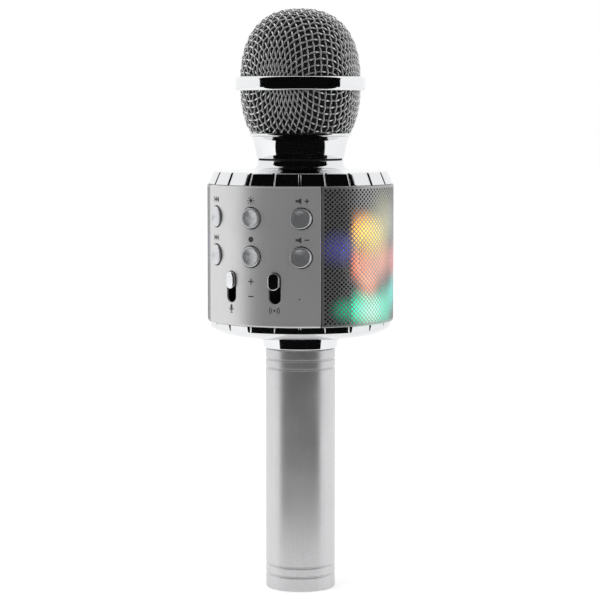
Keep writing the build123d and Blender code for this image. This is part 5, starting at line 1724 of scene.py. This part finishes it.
@dataclass
class Studio:
    """Pale floor, soft light, and the dark cards that chrome is shown against."""

    azimuth: float = 31.0
    distance: float = 0.923
    height: float = 0.2022
    pitch: float = 4.985
    lens: float = 132.06
    aside: float = -0.0002
    target: float = 0.14
    card_turn: float = -1.0
    ball: tuple[float, float] = (2.4, 0.18)
    ball_rise: float = 15.0
    ball_spread: float = 75.0
    floor_spread: float = 67.0
    dimming: float = 0.28
    floor_seen: float = 0.38
    floor_mirrored: float = 0.26

    def build(self) -> None:
        """Sets the camera, the world, the floor, the lamps and the cards."""
        scene = bpy.context.scene
        scene.view_settings.view_transform = "Standard"
        self._camera(scene)
        self._world(scene)
        self._floor()
        self._cards()
        self._lamp("key_light", self.azimuth - 55, 40, 1.5, 1.2, 5.0)
        self._lamp("fill_light", self.azimuth + 65, 25, 1.7, 1.2, 2.0)
        LOG.info("studio set")

    def _camera(self, scene: bpy.types.Scene) -> None:
        """A long lens a little above the drum, looking slightly down."""
        data = bpy.data.cameras.new("camera")
        data.lens, data.sensor_width = self.lens, 36.0
        data.clip_start, data.clip_end = 0.05, 50.0
        camera = bpy.data.objects.new("camera", data)
        turn = math.radians(self.azimuth)
        camera.location = Vector(towards(self.azimuth) * self.distance) + Vector((0, 0, self.height))
        camera.location += self.aside * Vector((math.cos(turn), math.sin(turn), 0))
        camera.rotation_euler = (math.radians(90 - self.pitch), 0.0, math.radians(self.azimuth))
        scene.collection.objects.link(camera)
        scene.camera = camera

    def _world(self, scene: bpy.types.Scene) -> None:
        """White all round, a little weaker where it lights the object."""
        world = bpy.data.worlds.new("studio")
        world.use_nodes = True
        world.node_tree.nodes.clear()
        nodes = Nodes(world.node_tree)
        rays = nodes.add("ShaderNodeLightPath").outputs
        seen = nodes.math("MAXIMUM", rays["Is Camera Ray"], rays["Is Glossy Ray"])
        seen = nodes.math("MAXIMUM", seen, rays["Is Transmission Ray"])
        strength = nodes.math("ADD", 1 - self.dimming, nodes.math("MULTIPLY", seen, self.dimming))
        back = nodes.add("ShaderNodeBackground", {"Color": (1.0, 1.0, 1.0, 1.0), "Strength": strength})
        end = nodes.add("ShaderNodeOutputWorld")
        nodes.tree.links.new(back.outputs[0], end.inputs["Surface"])
        scene.world = world

    def _floor(self) -> None:
        """A wide pale floor that shows white and keeps the object's shadow."""
        mesh = bpy.data.meshes.new("floor")
        mesh.from_pydata([(-6, -6, 0), (6, -6, 0), (6, 6, 0), (-6, 6, 0)], [], [(0, 1, 2, 3)])
        floor = bpy.data.objects.new("floor", mesh)
        bpy.context.scene.collection.objects.link(floor)
        material = bpy.data.materials.new("pale_floor")
        material.use_nodes = True
        nodes = Nodes(material.node_tree)
        shader = material.node_tree.nodes["Principled BSDF"]
        rays = nodes.add("ShaderNodeLightPath").outputs
        mirrored = nodes.math("MAXIMUM", rays["Is Glossy Ray"], rays["Is Transmission Ray"])
        seen = nodes.math("MULTIPLY", rays["Is Camera Ray"], self.floor_seen)
        glow = nodes.math("MAXIMUM", seen, nodes.math("MULTIPLY", mirrored, self.floor_mirrored))
        values = {"Base Color": (0.9, 0.9, 0.9), "Roughness": 0.8, "Specular IOR Level": 0.1}
        for key, value in {**values, "Emission Color": (1.0, 1.0, 1.0), "Emission Strength": glow}.items():
            nodes.put(shader.inputs[key], value)
        mesh.materials.append(material)

    def _lamp(self, name: str, azimuth: float, elevation: float, away: float, size: float, power: float) -> None:
        """A soft square lamp that faces the drum and doesn't show in reflections."""
        data = bpy.data.lights.new(name, "AREA")
        data.size, data.energy = size, power
        lamp = bpy.data.objects.new(name, data)
        rise = math.radians(elevation)
        target = Vector((0, 0, self.target))
        place = target + Vector(towards(azimuth) * away * math.cos(rise)) + Vector((0, 0, away * math.sin(rise)))
        lamp.location = place
        lamp.rotation_euler = (place - target).to_track_quat("Z", "Y").to_euler()
        lamp.visible_camera = False
        lamp.visible_glossy = False
        bpy.context.scene.collection.objects.link(lamp)

    def _cards(self) -> None:
        """Black cards that only reflections meet: a curved one round the front, one on the floor.

        The curved card is the part of a ball about the drum that lies within ball_spread of a line
        that rises by ball_rise over the camera's side. The floor card is a sector of the floor.
        """
        azimuth = self.azimuth + self.card_turn
        front = towards(azimuth)
        side = towards(azimuth + 90)
        tilt = math.radians(self.ball_rise)
        axis = math.cos(tilt) * front + math.sin(tilt) * np.array([0.0, 0.0, 1.0])
        up = np.cross(axis, side)
        spread = np.radians(np.linspace(0.5, self.ball_spread, 30))[:, None, None]
        around = np.linspace(0, 2 * math.pi, 73)[None, :, None]
        ball = np.cos(spread) * axis + np.sin(spread) * (np.cos(around) * side + np.sin(around) * up)
        radius, height = self.ball
        self._card("front_card", radius * ball + np.array([0.0, 0.0, height]))
        reach = np.array([0.15, 0.3, 0.6, 1.2, 2.4])
        angle = np.radians(azimuth + self.floor_spread * np.linspace(-1, 1, 61))
        low = np.stack([np.outer(reach, np.sin(angle)), -np.outer(reach, np.cos(angle)), np.full((5, 61), 0.001)], -1)
        self._card("floor_card", low)

    def _card(self, name: str, grid: Array) -> None:
        """A black sheet that only glossy rays see, over a grid of points in metres."""
        rows, columns = grid.shape[:2]
        numbers = np.arange(rows * columns).reshape(rows, columns)
        faces = np.stack([numbers[:-1, :-1], numbers[:-1, 1:], numbers[1:, 1:], numbers[1:, :-1]], axis=-1)
        mesh = bpy.data.meshes.new(name)
        mesh.from_pydata(grid.reshape(-1, 3).tolist(), [], faces.reshape(-1, 4).tolist())
        card = bpy.data.objects.new(name, mesh)
        bpy.context.scene.collection.objects.link(card)
        material = bpy.data.materials.new(f"{name}_black")
        material.use_nodes = True
        shader = material.node_tree.nodes["Principled BSDF"]
        shader.inputs["Base Color"].default_value = (0.004, 0.004, 0.004, 1.0)
        shader.inputs["Roughness"].default_value = 1.0
        shader.inputs["Specular IOR Level"].default_value = 0.0
        mesh.materials.append(material)
        for kind in ("camera", "diffuse", "shadow", "transmission"):
            setattr(card, f"visible_{kind}", False)


# ------------------------------------------------------------------ everything


def front_openings(drum: Drum, buttons: Buttons) -> tuple[Opening, ...]:
    """The control panel's holes: six round ones, two slots and a pinhole."""
    reach, half_slot, pinhole = buttons.radius + 0.4, (5.2 / 2, 12.9 / 2), 0.4
    holes = []
    for azimuth in buttons.columns:
        out = towards(azimuth)
        for row in buttons.rows:
            holes.append(Opening(drum.radius * out[0], row, reach * abs(out[1]), reach, 0.0, 56))
    for _, azimuth in buttons.sliders:
        out = towards(azimuth)
        half = half_slot[0] * abs(out[1])
        holes.append(Opening(drum.radius * out[0], drum.middle - 12.55, half, half_slot[1], half, 48))
    out = towards(30.0)
    holes.append(Opening(drum.radius * out[0], drum.middle - 16.85, pinhole * abs(out[1]), pinhole, 0.0, 16))
    return tuple(holes)


def rear_openings(drum: Drum) -> tuple[Opening, ...]:
    """The rear panel's holes: button, two flat sockets, a round one and a small one."""
    middle, gap = drum.middle, 0.3
    return (
        Opening(0.0, middle + 21.5, 3.8, 3.8, 0.0, 48),
        Opening(0.0, middle + 11.5, 6.6 + gap, 2.9 + gap, 0.4, 32),
        Opening(0.0, middle + 3.0, 6.3 + gap, 1.1 + gap, 0.4, 32),
        Opening(0.0, middle - 6.0, 3.2 + gap, 3.2 + gap, 0.0, 40),
        Opening(0.0, middle - 16.5, 4.0 + gap, 1.6 + gap, 0.6, 32),
    )


def main() -> None:
    """Builds the microphone's looks on its frame."""
    logging.basicConfig(level=logging.INFO, format="%(name)s %(message)s")
    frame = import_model()
    Studio().build()
    dress_kept_nodes(frame["nodes"])
    drum = Drum()
    buttons = Buttons(drum)
    Handle().build()
    caps = Caps()
    caps.build_bottom()
    caps.build_top()
    Panel("control_panel_plate", "control_panel", drum, 0.0, 43.3, 38.0, front_openings(drum, buttons)).build()
    Panel("rear_panel_plate", "rear_panel", drum, 180.0, 22.0, 12.0, rear_openings(drum)).build()
    for side in Side:
        PunchedSheet(side, drum).build()
    buttons.build()
    Icons(drum).build()
    Head().build()


if __name__ == "__main__":
    main()
